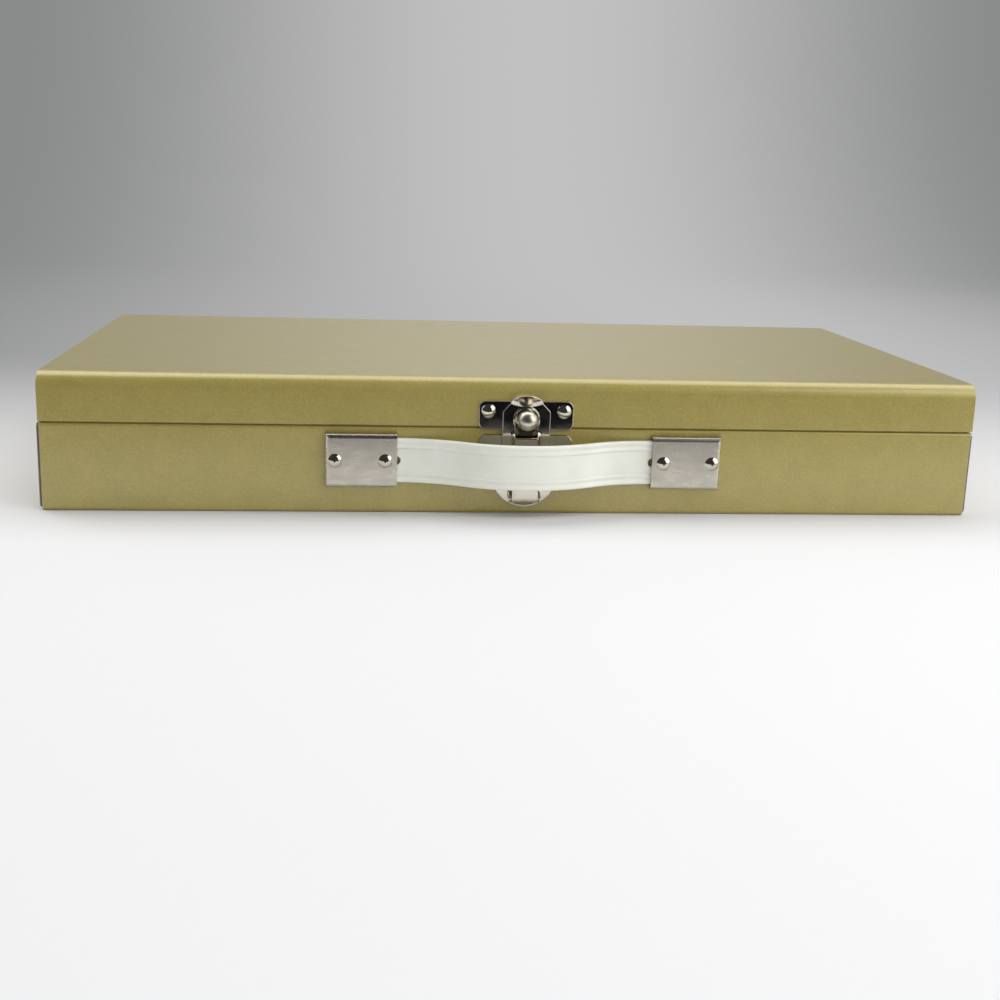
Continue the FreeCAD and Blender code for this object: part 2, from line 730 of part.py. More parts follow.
def build_catch_plate():
    """Shield-shaped plate on the base with two hinge lugs bent out of a window at its round end."""
    body = hardware_body("catch_plate")
    half = S["catch_width"] / 2
    arc = S["catch_arc"]
    arc_z = S["catch_arc_z"]
    join = S["catch_join"]
    side = root(arc * arc - join * join)
    bottom = Vector(0, arc_z.value - arc.value, 0)
    outline = [
        (-half, S["catch_high"]),
        (-half, S["catch_ear"]),
        (-side, arc_z - join, bottom, arc),
        (side, arc_z - join),
        (half, S["catch_ear"]),
        (half, S["catch_high"]),
    ]
    pad(body, "sheet", draw(body, "outline", "XZ_Plane", [outline]), S["plate"])
    corners = [lying(x=x, z=z) for x in (-half, half) for z in (S["catch_high"], S["catch_ear"])]
    fillet(body, "corners", S["catch_corner"], *corners)
    fillet(body, "edge", S["plate_round"], lying(y=-S["plate"]))
    near = S["lug_inner"]
    window_arc = arc - S["catch_rim"]
    window_side = arc_z - root(window_arc * window_arc - near * near)
    window_bottom = Vector(0, arc_z.value - window_arc.value, 0)
    window = [
        (-near, S["catch_window"]),
        (-near, window_side, window_bottom, window_arc),
        (near, window_side),
        (near, S["catch_window"]),
    ]
    pocket(body, "window", draw(body, "window_outline", "XZ_Plane", [window]))
    nose = S["lug_radius"]
    pin_z = S["hasp_pin_z"]
    tip = S["hasp_pin_out"] + nose
    far = near + S["lug_thick"]
    lugs = [
        box_loop(near, far, pin_z - nose, pin_z + nose),
        box_loop(-far, -near, pin_z - nose, pin_z + nose),
    ]
    pad(body, "lugs", draw(body, "lug_outline", "XZ_Plane", lugs), tip)
    corners = (lying(y=-tip, z=pin_z - nose), lying(y=-tip, z=pin_z + nose))
    fillet(body, "lug_noses", nose - S["hole_play"], *corners)
    hole = S["hasp_pin_radius"] + S["hole_play"]
    ring = draw(body, "pin_ring", "YZ_Plane", circles=[(-S["hasp_pin_out"], pin_z, hole)])
    pocket(body, "pin_hole", ring)
    plate_holes(body, [(S["catch_rivet_x"] * side, S["catch_rivet_z"]) for side in (-1, 1)])
    return body


def build_hasp_pin():
    """Plain pin through the lugs and the rolled hasp end."""
    reach = S["lug_inner"] + S["lug_thick"] + S["hasp_pin_end"]
    pin = primitive("Part::Cylinder", "hasp_pin", Radius=S["hasp_pin_radius"], Height=reach * 2)
    pin.Label = "hasp_pin"
    turn = Rotation(Vector(0, 1, 0), QUARTER_TURN)
    place(pin, MIDDLE - reach, FRONT - S["hasp_pin_out"], S["hasp_pin_z"], turn)
    doc.recompute()
    return pin


def mirrored(points):
    """A closed loop from its right half, listed from bottom to top."""
    left = [(-x, z) for x, z in reversed(points) if x.value > NEAR]
    return [*points, *left]


def loft(body, name, kind, *levels):
    """Join like half outlines, each at its own distance out, by straight sides."""
    profiles = [
        draw(body, f"{name}_{number}", "XZ_Plane", [mirrored(half)], out=out)
        for number, (half, out) in enumerate(levels)
    ]
    feature = body.newObject(kind, f"{body.Name}_{name}")
    feature.Profile = profiles[0]
    feature.Sections = profiles[1:]
    feature.Ruled = True
    return finish(body, feature)


def build_hasp():
    """Snap hasp: tab rolled round its pin, hollow rib open to the collared hole, thumb lip."""
    body = hardware_body("hasp")
    back = S["hasp_back"]
    face = back + S["hasp_sheet"]
    pin_z = S["hasp_pin_z"]
    outline = mirrored(
        [
            (S["hasp_tail"], S["tail_bend"]),
            (S["hasp_tail"], S["tail_top"]),
            (S["hasp_half"], S["tail_spread"]),
            (S["hasp_half"], S["hasp_cut_z"]),
            (S["lip_bend_half"], S["lip_bend_z"]),
        ]
    )
    pad(body, "sheet", draw(body, "outline", "XZ_Plane", [outline], out=back), S["hasp_sheet"])
    front = lying(y=-face)
    bend = lying(z=S["lip_bend_z"])
    tail = lying(z=S["tail_bend"])
    fillet(body, "edge", S["plate_round"], lambda edge: front(edge) and not bend(edge) and not tail(edge))
    arch = Vector(0, S["lip_long"].value, 0)
    rise = S["lip_long"] - S["lip_side_long"]
    reach = S["lip_side_half"]
    arch_radius = (reach * reach + rise * rise) / (rise * 2)
    lip = [
        (-S["lip_bend_half"], ZERO),
        (S["lip_bend_half"], ZERO),
        (S["lip_side_half"], S["lip_side_long"], arch, arch_radius),
        (-S["lip_side_half"], S["lip_side_long"]),
    ]
    tilted = draw(
        body,
        "lip_outline",
        "XZ_Plane",
        [lip],
        out=back,
        up=S["lip_bend_z"],
        tilt=S["lip_tilt"],
    )
    pad(body, "thumb_lip", tilted, S["hasp_sheet"])
    lean = S["rib_foot"] - S["rib_face"]
    foot = [
        (S["rib_tail_half"] + lean, S["rib_low"]),
        (S["rib_foot"], S["tail_spread"]),
        (S["rib_foot"], S["rib_shoulder"]),
        (S["rib_neck"], S["rib_high"]),
    ]
    top = [
        (S["rib_tail_half"], S["rib_low"] + S["rib_slope"]),
        (S["rib_face"], S["tail_spread"]),
        (S["rib_face"], S["rib_mouth"] - S["plate_round"]),
        (S["mouth_half"], S["rib_mouth"]),
    ]
    ridge = face + S["rib_height"]
    loft(body, "rib", "PartDesign::AdditiveLoft", (foot, face), (top, ridge))
    spot = (ZERO, S["stud_z"])
    ring = draw(body, "collar_ring", "XZ_Plane", circles=[(*spot, S["collar_radius"])], out=back)
    pad(body, "collar", ring, S["hasp_sheet"] + S["collar_height"])
    wall = S["rib_wall"]
    shift = lean * S["hasp_sheet"] / S["rib_height"]
    hollow_foot = [(x + shift - wall, z) for x, z in foot[1:]]
    hollow_foot.insert(0, (foot[0][0] + shift - wall, top[0][1]))
    hollow_top = [(x + shift - wall, z) for x, z in top[1:]]
    hollow_top.insert(0, (top[0][0] + shift - wall, top[0][1] + S["plate_round"]))
    under = (hollow_foot, back)
    above = (hollow_top, ridge - S["hasp_sheet"])
    loft(body, "hollow", "PartDesign::SubtractiveLoft", under, above)
    half = S["mouth_half"]
    mouth = box_loop(-half, half, S["rib_mouth"], S["stud_z"])
    pocket(body, "mouth", draw(body, "mouth_outline", "XZ_Plane", [mouth]))
    pocket(body, "hole", draw(body, "hole_ring", "XZ_Plane", circles=[(*spot, S["hole_radius"])]))
    pin_out = S["hasp_pin_out"]
    crest = pin_out + S["hasp_knuckle"]
    thick = S["hasp_sheet"]
    tab = [
        (-crest, pin_z),
        (-crest, S["tail_tab"]),
        (-face, S["tail_bend"]),
        (-back, S["tail_bend"]),
        (thick - crest, S["tail_tab"]),
        (thick - crest, pin_z),
    ]
    pad(body, "tab", draw(body, "tab_outline", "YZ_Plane", [tab]), S["hasp_tail"] * 2, symmetric=True)
    curl = (-pin_out, pin_z)
    roll = draw(body, "roll_ring", "YZ_Plane", circles=[(*curl, S["hasp_knuckle"])])
    pad(body, "roll", roll, S["hasp_tail"] * 2, symmetric=True)
    bore = S["hasp_pin_radius"] + S["pin_play"]
    pocket(body, "bore", draw(body, "bore_ring", "YZ_Plane", circles=[(*curl, bore)]))
    return body


def build_hasp_spring():
    """Forked leaf in the hollow of the rib; its prongs grip the stud behind the ball."""
    body = hardware_body("hasp_spring")
    fork = S["spring_fork"]
    tip = S["spring_high"]
    outline = mirrored(
        [
            (S["spring_half"], S["spring_low"]),
            (S["spring_half"], fork - S["prong_out"] + S["spring_half"]),
            (S["prong_out"], fork),
            (S["prong_out"], tip),
            (S["prong_in"], tip),
            (S["prong_in"], fork),
        ]
    )
    back = S["spring_back"]
    pad(body, "leaf", draw(body, "outline", "XZ_Plane", [outline], out=back), S["spring_sheet"])
    spot = (ZERO, S["spring_anchor_z"], S["spring_anchor"])
    ring = draw(body, "anchor_ring", "XZ_Plane", circles=[spot], out=back)
    pad(body, "anchor", ring, S["hasp_back"] + S["rib_height"] - back)
    return body


def build_bracket(label, side):
    """Folded cover over a strap end, open at its back and towards the middle."""
    body = new_body(label, MIDDLE + S["bracket_x"] * side, FRONT, S["bracket_z"])
    half = S["bracket_long"] / 2
    high = S["bracket_high"] / 2
    out = S["bracket_out"]
    wall = S["plate"]
    bend = S["bracket_bend"]
    pad(body, "block", draw(body, "outline", "XZ_Plane", [box_loop(-half, half, -high, high)]), out)
    shell(body, "cover", wall, lying(y=ZERO), lying(x=-half * side))
    for name, radius, inset in (("inner_bends", bend - wall, wall), ("bends", bend, ZERO)):
        face = inset - out
        depth = high - inset
        end = (half - inset) * side
        edges = [lying(y=face, z=depth), lying(y=face, z=-depth), lying(y=face, x=end)]
        fillet(body, name, radius, *edges)
    spots = [((S[name] - S["bracket_x"]) * side, ZERO) for name in ("rivet_inner", "rivet_outer")]
    plate_holes(body, spots)
    return body


def build_handle_strap():
    """Strap bowed outwards between its brackets, with slotted ends and grooved edges.

    In plan the strap runs straight in each bracket and bows along three
    tangent arcs of one radius.
    """
    body = new_body("handle_strap", MIDDLE, FRONT, S["bracket_z"])
    base = S["strap_out"]
    bow = S["strap_bow"]
    mouth = S["strap_mouth"]
    radius = (mouth * mouth + bow * bow) / (bow * 4)
    angle = math.asin(mouth.value / 2 / radius.value) / 2
    via_x = mouth.value - radius.value * math.sin(angle)
    via_y = -base.value - radius.value * (1 - math.cos(angle))
    crest = Vector(0, -base.value - bow.value, 0)
    half_bow = -(base + bow / 2)
    run = [
        (-S["strap_end"], -base),
        (-mouth, -base, Vector(-via_x, via_y, 0), radius),
        (-mouth / 2, half_bow, crest, radius),
        (mouth / 2, half_bow, Vector(via_x, via_y, 0), radius),
        (mouth, -base),
        (S["strap_end"], -base),
    ]
    spine = draw(body, "spine", "XY_Plane", path=run)
    half = S["strap_width"] / 2
    inner = -base + S["strap_thick"] / 2
    outer = -base - S["strap_thick"] / 2
    bevel = S["strap_edge"]
    width = S["groove_half"]
    upper = [(inner, half - bevel), (inner - bevel, half), (outer + bevel, half), (outer, half - bevel)]
    for name in ("groove_first", "groove_second"):
        middle = half - S[name]
        upper += [
            (outer, middle + width),
            (outer + S["groove_depth"], middle),
            (outer, middle - width),
        ]
    section = upper + [(y, -z) for y, z in reversed(upper)]
    strap = body.newObject("PartDesign::AdditivePipe", "handle_strap_sweep")
    strap.Profile = draw(body, "section", "YZ_Plane", [section], out=-S["strap_end"])
    strap.Spine = (spine, [f"Edge{number}" for number in range(1, len(run))])
    finish(body, strap)
    slot = S["slot_half"]
    slots = [
        box_loop(-S["slot_outer"], -S["slot_inner"], -slot, slot),
        box_loop(S["slot_inner"], S["slot_outer"], -slot, slot),
    ]
    pocket(body, "slots", draw(body, "slot_outline", "XZ_Plane", slots))
    return body


def build_all():
    """Every sub-part of the case."""
    return [
        build_base_wrap(),
        build_base_end("base_end_left", -1),
        build_base_end("base_end_right", 1),
        build_lid_wrap(),
        build_lid_end("lid_end_left", -1),
        build_lid_end("lid_end_right", 1),
        build_hinge_leaf("hinge_leaf_base", -1, 0, KNUCKLES // 2 + 1),
        build_hinge_leaf("hinge_leaf_lid", 1, 1, KNUCKLES // 2),
        build_hinge_pin(),
        build_strike_plate(),
        build_rivets("strike_rivets", STRIKE_RIVETS, S["plate"]),
        build_ball_stud(),
        build_catch_plate(),
        build_rivets("catch_rivets", CATCH_RIVETS, S["plate"]),
        build_hasp_pin(),
        build_hasp(),
        build_hasp_spring(),
        build_bracket("bracket_left", -1),
        build_bracket("bracket_right", 1),
        build_rivets("bracket_rivets", BRACKET_RIVETS, S["bracket_out"]),
        build_handle_strap(),
    ]


def check(parts):
    """Stop when any object failed or any shape is empty or broken."""
    for thing in doc.Objects:
        if "Invalid" in thing.State or "Error" in thing.State:
            raise RuntimeError(f"{thing.Name}: {thing.State}")
    for part in parts:
        if part.Shape.isNull() or not part.Shape.isValid() or not part.Shape.Solids:
            raise RuntimeError(f"{part.Label}: bad shape")


def export(parts):
    """One file for each sub-part."""
    os.makedirs("parts", exist_ok=True)
    for part in parts:
        part.Shape.exportStep(os.path.join("parts", f"{part.Label}.step"))


finished = build_all()
doc.recompute()
check(finished)
export(finished)
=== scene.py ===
"""Dressed cash box: enamelled case, plated hasp and brackets, moulded strap, plain studio."""

import math

import bpy
import numpy as np
from mathutils import Matrix, Vector


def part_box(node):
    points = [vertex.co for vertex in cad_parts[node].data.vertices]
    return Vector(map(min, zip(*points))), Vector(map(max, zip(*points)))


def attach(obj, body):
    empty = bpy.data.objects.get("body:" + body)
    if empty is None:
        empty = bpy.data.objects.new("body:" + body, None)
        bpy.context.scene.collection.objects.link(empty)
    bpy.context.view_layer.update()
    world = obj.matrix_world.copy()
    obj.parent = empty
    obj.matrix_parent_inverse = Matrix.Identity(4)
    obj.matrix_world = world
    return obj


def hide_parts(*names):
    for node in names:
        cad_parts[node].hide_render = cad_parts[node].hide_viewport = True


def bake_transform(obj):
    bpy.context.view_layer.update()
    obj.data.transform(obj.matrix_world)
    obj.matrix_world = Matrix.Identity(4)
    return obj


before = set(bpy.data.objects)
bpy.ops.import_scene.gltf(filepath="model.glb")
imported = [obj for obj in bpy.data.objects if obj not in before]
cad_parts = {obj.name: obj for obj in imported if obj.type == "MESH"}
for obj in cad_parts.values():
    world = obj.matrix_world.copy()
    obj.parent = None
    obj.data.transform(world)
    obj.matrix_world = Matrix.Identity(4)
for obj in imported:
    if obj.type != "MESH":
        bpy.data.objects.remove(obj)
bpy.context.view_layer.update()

bl_info = {
    "name": "Cash box",
    "version": (1, 0, 0),
    "blender": (4, 5, 0),
    "location": "View3D > Sidebar > Cash box",
    "description": "Dresses the packed cash box and sets up its studio",
    "category": "Object",
}

MM = 0.001
SHARP_ANGLE = math.radians(35)
# points along half a strap, round the hasp's edge, and from the hasp's keyhole out to its edge
STRAP_STEPS, EDGE_STEPS, SHEET_STEPS = 140, 520, 56
NOISE, SPREAD, MIX = "ShaderNodeTexNoise", "ShaderNodeMapRange", "ShaderNodeMix"
BUMP, MATH = "ShaderNodeBump", "ShaderNodeMath"
# sockets of a Mix node for colours, by number because its modes share their sockets' names
MIX_SHARE, MIX_FROM, MIX_TO, MIX_RESULT = 0, 6, 7, 2
# name, then place, target, width and height in metres, then power in watts
LAMPS = (
    ("wall_left", (-0.85, 0.3, 0.5), (0.0, 0.05, 0.05), (1.2, 1.0), 4.6),
    ("wall_right", (0.75, -0.35, 0.45), (0.0, -0.05, 0.05), (0.9, 0.9), 4.7),
    ("ceiling", (0.0, 0.3, 1.1), (0.0, 0.0, 0.0), (2.0, 0.9), 11.5),
    ("fill_high", (0.2, -0.8, 1.15), (0.0, -0.1, 0.03), (1.4, 0.6), 4.7),
    ("fill_low", (0.2, -1.3, 0.45), (0.0, -0.1, 0.03), (1.4, 0.6), 4.3),
)


def linear(code):
    """The linear colour of an sRGB hex value: the lower part is straight, the rest a power of 2.4."""
    parts = np.array([int(code[at : at + 2], 16) for at in (0, 2, 4)]) / 255
    return tuple(np.where(parts <= 0.04045, parts / 12.92, ((parts + 0.055) / 1.055) ** 2.4).tolist())


def colour(label, text, code):
    """A colour property with its default given as sRGB hex."""
    return bpy.props.FloatVectorProperty(
        name=label, description=text, subtype="COLOR", size=3, min=0.0, max=1.0, default=linear(code)
    )


def length(label, text, default):
    """A length property with its default given in millimetres."""
    return bpy.props.FloatProperty(name=label, description=text, unit="LENGTH", default=default * MM)


def angle(label, text, default):
    """An angle property with its default given in degrees."""
    return bpy.props.FloatProperty(
        name=label, description=text, subtype="ANGLE", default=math.radians(default)
    )


def share(label, text, default):
    """A property from 0 to 1."""
    return bpy.props.FloatProperty(
        name=label, description=text, subtype="FACTOR", min=0.0, max=1.0, default=default
    )


class CashBoxFinish(bpy.types.PropertyGroup):
    """Colours and surface values of the finishes."""

    enamel: colour("Enamel", "Olive gold of the case", "A6964A")
    enamel_fleck: colour("Enamel fleck", "Bright metal flecks in the enamel", "C1B263")
    enamel_shade: colour("Enamel shade", "Darker clouds between the flecks", "988B42")
    enamel_rough: share("Enamel roughness", "Roughness of the enamel", 0.42)
    # painted shade: the base's front corners are coloured dark brown to stand for the shade inside the
    # folded corner; recess is how deep this reaches, primer is its colour
    recess: length("Recess", "Depth of the unpainted corners of the base", 0.5)
    corner_shade_colour: colour("Primer", "Dark primer in the unpainted corners", "2E2616")
    nickel: colour("Nickel", "Bright plating of plates, hasp and rivets", "D8D2C4")
    nickel_haze: colour("Nickel haze", "Faint warm haze on the plating", "B9AE9A")
    satin: colour("Satin nickel", "Rolled and plated bracket sheet", "D3CDC0")
    satin_dark: colour("Satin nickel stain", "Dull streaks on the brackets", "B3ADA0")
    steel: colour("Hinge steel", "Bare drawn steel of the hinge", "A9A7A2")
    spring: colour("Spring steel", "Blued leaf spring", "5A5650")
    vinyl: colour("Vinyl", "Ivory white of the strap", "E9EAE0")
    vinyl_soil: colour("Vinyl soil", "Grey cast in broad clouds on the strap", "C9C8B8")


class CashBoxStrap(bpy.types.PropertyGroup):
    """Sizes of the moulded strap."""

    middle_out: length("Distance in the brackets", "Strap middle from the wall inside its brackets", 1.6)
    bow: length("Bow", "How far the strap bows out", 13.08)
    mouth: length("Bow start", "Where the bow starts, from the middle", 50.4)
    end: length("End", "Strap end from the middle", 67.0)
    width: length("Width", "Width of the strap", 17.5)
    thick: length("Thickness", "Greatest thickness of the strap", 2.4)
    edge_bead: length("Edge bead", "Radius of the bead along each edge", 0.75)
    valley: length("Valley", "Valley behind the edge bead, from the edge", 2.2)
    valley_depth: length("Valley depth", "Valley below the edge bead", 0.5)
    second_bead: length("Second bead", "Crest of the second bead, from the edge", 3.35)
    second_depth: length("Second bead depth", "Crest of the second bead below the edge bead", 0.1)
    panel_edge: length("Panel edge", "Start of the flat middle, from the edge", 4.1)
    panel_depth: length("Panel depth", "Flat middle below the edge bead", 0.62)
    crown: length("Crown", "Rise of the flat middle towards its centre line", 0.12)
    back_corner: length("Back corner", "Rounding of the corners at the back", 0.7)
    slot_start: length("Slot start", "Inner end of the rivet slot", 49.0)
    slot_end: length("Slot end", "Outer end of the rivet slot", 61.0)
    slot_half: length("Slot half height", "Half height of the rivet slot", 1.75)


class CashBoxHasp(bpy.types.PropertyGroup):
    """Sizes of the pressed hasp, with heights from the bottom of the case."""

    back: length("Back", "Back of the sheet from the wall", 1.3)
    sheet: length("Sheet", "Thickness of the sheet", 1.0)
    half: length("Half width", "Half width of the hasp", 9.4)
    tail_half: length("Tail half width", "Half width of the tail", 5.2)
    tail_top: length("Tail top", "Upper end of the narrow tail", 20.0)
    tail_spread: length("Shoulder", "Where the hasp is full width", 24.0)
    corner: length("Corner", "Start of the slanted corners", 41.5)
    lip_half: length("Lip half width", "Half width of the thumb lip", 6.5)
    lip_foot: length("Lip foot", "Where the end of the lip starts to arch", 44.6)
    lip_top: length("Lip top", "Top of the thumb lip", 48.1)
    lip_bend: length("Lip bend", "Lowest point of the curved bend", 43.2)
    lip_bend_rise: length("Lip bend rise", "Rise of the curved bend at the sides of the lip", 1.2)
    lip_flare: length("Lip flare", "Outward rise one millimetre above the bend", 0.11)
    hole_height: length("Hole height", "Middle of the hole", 38.5)
    hole: length("Hole", "Radius of the hole over the ball", 4.5)
    collar: length("Collar", "Collar above the sheet", 1.0)
    collar_width: length("Collar width", "Foot of the collar from the edge of the hole", 0.75)
    collar_side: length("Collar side", "Width of the collar's sloping side", 0.5)
    collar_foot: length("Collar foot", "Lower ends of the collar", 34.5)
    collar_run: length("Collar run", "Height over which the collar's ends rise", 1.5)
    mouth: length("Mouth", "Open upper end of the rib", 31.5)
    mouth_half: length("Mouth half width", "Half width of the mouth", 4.4)
    mouth_round: length("Mouth rounding", "Extra rounding along the lower edge of the mouth", 0.5)
    rib_low: length("Rib start", "Lower end of the rib", 18.0)
    rib_height: length("Rib height", "Rib above the sheet", 2.0)
    rib_half: length("Rib half width", "Half width of the rib at its lower end", 5.0)
    rib_widen: length("Rib widening", "Widening of each side of the rib up to the shoulder", 1.05)
    rib_neck: length("Rib neck", "Where the rib narrows again", 34.0)
    rib_neck_run: length("Rib neck run", "Height over which the rib narrows", 2.0)
    rib_narrow: length("Rib narrowing", "Narrowing of each side of the rib at its neck", 1.6)
    rib_side: length("Rib side", "Width of the rib's sloping side", 1.9)
    rib_start_run: length("Rib start run", "Height over which the rib rises at its lower end", 2.1)
    rib_stop_run: length("Rib stop run", "Height over which the rib's sides end above the mouth", 2.4)
    edge_round: length("Edge", "Rounding of the edges", 0.3)
    pin_height: length("Pin height", "Height of the pin", 7.2)
    pin_out: length("Pin distance", "Pin from the wall", 3.3)
    roll: length("Roll", "Radius of the rolled end", 2.0)
    tab_top: length("Tab top", "Upper end of the tab's straight front", 12.0)
    tab_end: length("Tab end", "Where the tab meets the sheet", 17.5)


class CashBoxStudio(bpy.types.PropertyGroup):
    """Camera and studio."""

    focal: bpy.props.FloatProperty(
        name="Focal length", description="On a sensor 36 mm wide", unit="CAMERA", default=49.39
    )
    yaw: angle("Yaw", "Turn to the right", 5.9073)
    pitch: angle("Pitch", "Tilt down", 13.8039)
    roll: angle("Roll", "Lean of the horizon", 1.7981)
    place: bpy.props.FloatVectorProperty(
        name="Place",
        description="Camera position",
        subtype="TRANSLATION",
        default=(-0.06184, -0.62832, 0.13566),
    )
    paper: colour("Paper", "Pale paper under the case", "E9E9EA")
    paper_far: colour("Far paper", "The paper behind the case", "B4B4B4")
    glow: colour("Background", "The background in the middle", "C1C1C1")
    glow_side: colour("Background sides", "The background at its sides", "8A8B8B")
    glow_middle: length("Background middle", "Where the background is brightest", 200)
    card: colour("Card", "Black card in front of the case", "0C0D11")
    card_mottle: colour("Card mottle", "Lighter patches of the card", "15161B")
    room: colour("Room", "The room past the paper", "C9CBD0")
    room_seen: share("Room as seen", "Level of the room to the camera", 0.8)
    room_light: share("Room light", "Level of the room as a light", 0.08)


def settings(context, group):
    """One of the property groups kept on the scene."""
    return getattr(context.scene, f"cash_box_{group}")


def fill(tree, node, inputs):
    """Set a node's inputs, or link each one whose value is another node's output."""
    for name, value in inputs.items():
        if isinstance(value, bpy.types.NodeSocket):
            tree.links.new(value, node.inputs[name])
        else:
            node.inputs[name].default_value = value


def add_node(tree, kind, inputs=None, **values):
    """Add one node, set its values and fill its inputs."""
    made = tree.nodes.new(kind)
    for name, value in values.items():
        setattr(made, name, value)
    fill(tree, made, inputs or {})
    return made


def rgba(value):
    """A colour with full alpha."""
    return (*value, 1.0)


def new_material(name):
    """A node material with its tree, its shader and the place on the object that patterns read."""
    material = bpy.data.materials.new(name)
    material.use_nodes = True
    tree = material.node_tree
    tree.nodes.clear()
    shader = add_node(tree, "ShaderNodeBsdfPrincipled")
    add_node(tree, "ShaderNodeOutputMaterial", {"Surface": shader.outputs["BSDF"]})
    where = add_node(tree, "ShaderNodeTexCoord").outputs["Object"]
    return material, tree, shader, where


def enamel_material(finish, name, recess=None):
    """Sprayed and baked metallic enamel.

    The eye gets an olive gold with a fine sparkle of metal flakes, soft clouds,
    and an orange-peel skin that breaks up reflections. Further to the front than
    the recess, inside the narrow folded corner, a dark colour is painted in as
    the shade there.
    """
    material, tree, shader, where = new_material(name)
    # flakes are 0.1 mm; drawn at 0.55 mm, or they would not show
    flake = add_node(
        tree, NOISE, {"Vector": where, "Scale": 1 / (0.55 * MM), "Detail": 3.0, "Roughness": 0.6}
    ).outputs["Fac"]
    cloud = add_node(tree, NOISE, {"Vector": where, "Scale": 1 / (9 * MM), "Detail": 3.0}).outputs["Fac"]
    shade = add_node(tree, SPREAD, {"Value": cloud, "From Min": 0.35, "From Max": 0.65, "To Max": 0.45})
    body = add_node(
        tree,
        MIX,
        {MIX_SHARE: shade.outputs[0], MIX_FROM: rgba(finish.enamel), MIX_TO: rgba(finish.enamel_shade)},
        data_type="RGBA",
    ).outputs[MIX_RESULT]
    glint = add_node(tree, SPREAD, {"Value": flake, "From Min": 0.45, "From Max": 0.75, "To Max": 0.6})
    tint = add_node(
        tree,
        MIX,
        {MIX_SHARE: glint.outputs[0], MIX_FROM: body, MIX_TO: rgba(finish.enamel_fleck)},
        data_type="RGBA",
    ).outputs[MIX_RESULT]
    vary = 0.06
    rough = add_node(
        tree,
        SPREAD,
        {
            "Value": flake,
            "From Min": 0.35,
            "From Max": 0.7,
            "To Min": finish.enamel_rough - vary,
            "To Max": finish.enamel_rough + vary,
        },
    )
    peel = add_node(tree, NOISE, {"Vector": where, "Scale": 1 / (1.6 * MM), "Detail": 2.0}).outputs["Fac"]
    skin = add_node(tree, BUMP, {"Height": peel, "Distance": 0.03 * MM, "Strength": 0.5})
    # painted shade: in front of the recess the colour turns dark brown, standing for the shade inside the
    # folded corner
    if recess is not None:
        fade = 0.15 * MM
        depth = add_node(tree, "ShaderNodeSeparateXYZ", {"Vector": where}).outputs["Y"]
        deep = add_node(tree, SPREAD, {"Value": depth, "From Min": recess + fade, "From Max": recess - fade})
        tint = add_node(
            tree,
            MIX,
            {MIX_SHARE: deep.outputs[0], MIX_FROM: tint, MIX_TO: rgba(finish.corner_shade_colour)},
            data_type="RGBA",
        ).outputs[MIX_RESULT]
    painted = {"Base Color": tint, "Roughness": rough.outputs[0], "Normal": skin.outputs["Normal"]}
    clear_coat = {"Coat Weight": 1.0, "Coat Roughness": 0.27, "Coat IOR": 1.7}
    fill(tree, shader, {**painted, "Metallic": 0.25, **clear_coat})
    return material


def nickel_material(finish, name, least, most):
    """Nickel plate on pressed or turned steel, between a least and a most roughness.

    The eye gets a warm mirror, sharp or soft, with fine polishing scratches and a
    faint uneven haze.
    """
    material, tree, shader, where = new_material(name)
    haze = add_node(tree, NOISE, {"Vector": where, "Scale": 1 / (5 * MM), "Detail": 4.0}).outputs["Fac"]
    dull = add_node(tree, SPREAD, {"Value": haze, "From Min": 0.45, "From Max": 0.75, "To Max": 0.5})
    tint = add_node(
        tree,
        MIX,
        {MIX_SHARE: dull.outputs[0], MIX_FROM: rgba(finish.nickel), MIX_TO: rgba(finish.nickel_haze)},
        data_type="RGBA",
    ).outputs[MIX_RESULT]
    rough = add_node(
        tree, SPREAD, {"Value": haze, "From Min": 0.35, "From Max": 0.75, "To Min": least, "To Max": most}
    )
    # scratches are a few hundredths of a millimetre wide; drawn at 0.3 mm, or they would not show
    along = add_node(tree, "ShaderNodeMapping", {"Vector": where, "Scale": (0.12, 1.0, 1.0)})
    scratch = add_node(tree, NOISE, {"Vector": along.outputs[0], "Scale": 1 / (0.3 * MM)}).outputs["Fac"]
    skin = add_node(tree, BUMP, {"Height": scratch, "Distance": 0.004 * MM, "Strength": 0.4})
    plated = {"Base Color": tint, "Roughness": rough.outputs[0], "Normal": skin.outputs["Normal"]}
    fill(tree, shader, {**plated, "Metallic": 1.0})
    return material


def bright_nickel(finish):
    """The one bright plating that hasp, plates, pin and rivets share."""
    name = "bright_nickel_plate"
    return bpy.data.materials.get(name) or nickel_material(finish, name, least=0.05, most=0.12)


def satin_material(finish):
    """Rolled steel sheet under thin dull nickel.

    The eye gets a soft grey with faint streaks along the sheet and shallow dents.
    """
    material, tree, shader, where = new_material("dull_nickel_sheet")
    along = add_node(tree, "ShaderNodeMapping", {"Vector": where, "Scale": (0.35, 1.0, 1.0)})
    streak = add_node(
        tree, NOISE, {"Vector": along.outputs[0], "Scale": 1 / (2.2 * MM), "Detail": 1.0}
    ).outputs["Fac"]
    stain = add_node(tree, SPREAD, {"Value": streak, "From Min": 0.4, "From Max": 0.8, "To Max": 0.35})
    tint = add_node(
        tree,
        MIX,
        {MIX_SHARE: stain.outputs[0], MIX_FROM: rgba(finish.satin), MIX_TO: rgba(finish.satin_dark)},
        data_type="RGBA",
    ).outputs[MIX_RESULT]
    rough = add_node(
        tree, SPREAD, {"Value": streak, "From Min": 0.3, "From Max": 0.7, "To Min": 0.26, "To Max": 0.32}
    )
    dents = add_node(tree, NOISE, {"Vector": where, "Scale": 1 / (2.5 * MM), "Detail": 0.0})
    skin = add_node(
        tree, BUMP, {"Height": dents.outputs["Fac"], "Distance": 0.004 * MM, "Strength": 0.15}
    )
    plated = {"Base Color": tint, "Roughness": rough.outputs[0], "Normal": skin.outputs["Normal"]}
    fill(tree, shader, {**plated, "Metallic": 1.0})
    return material


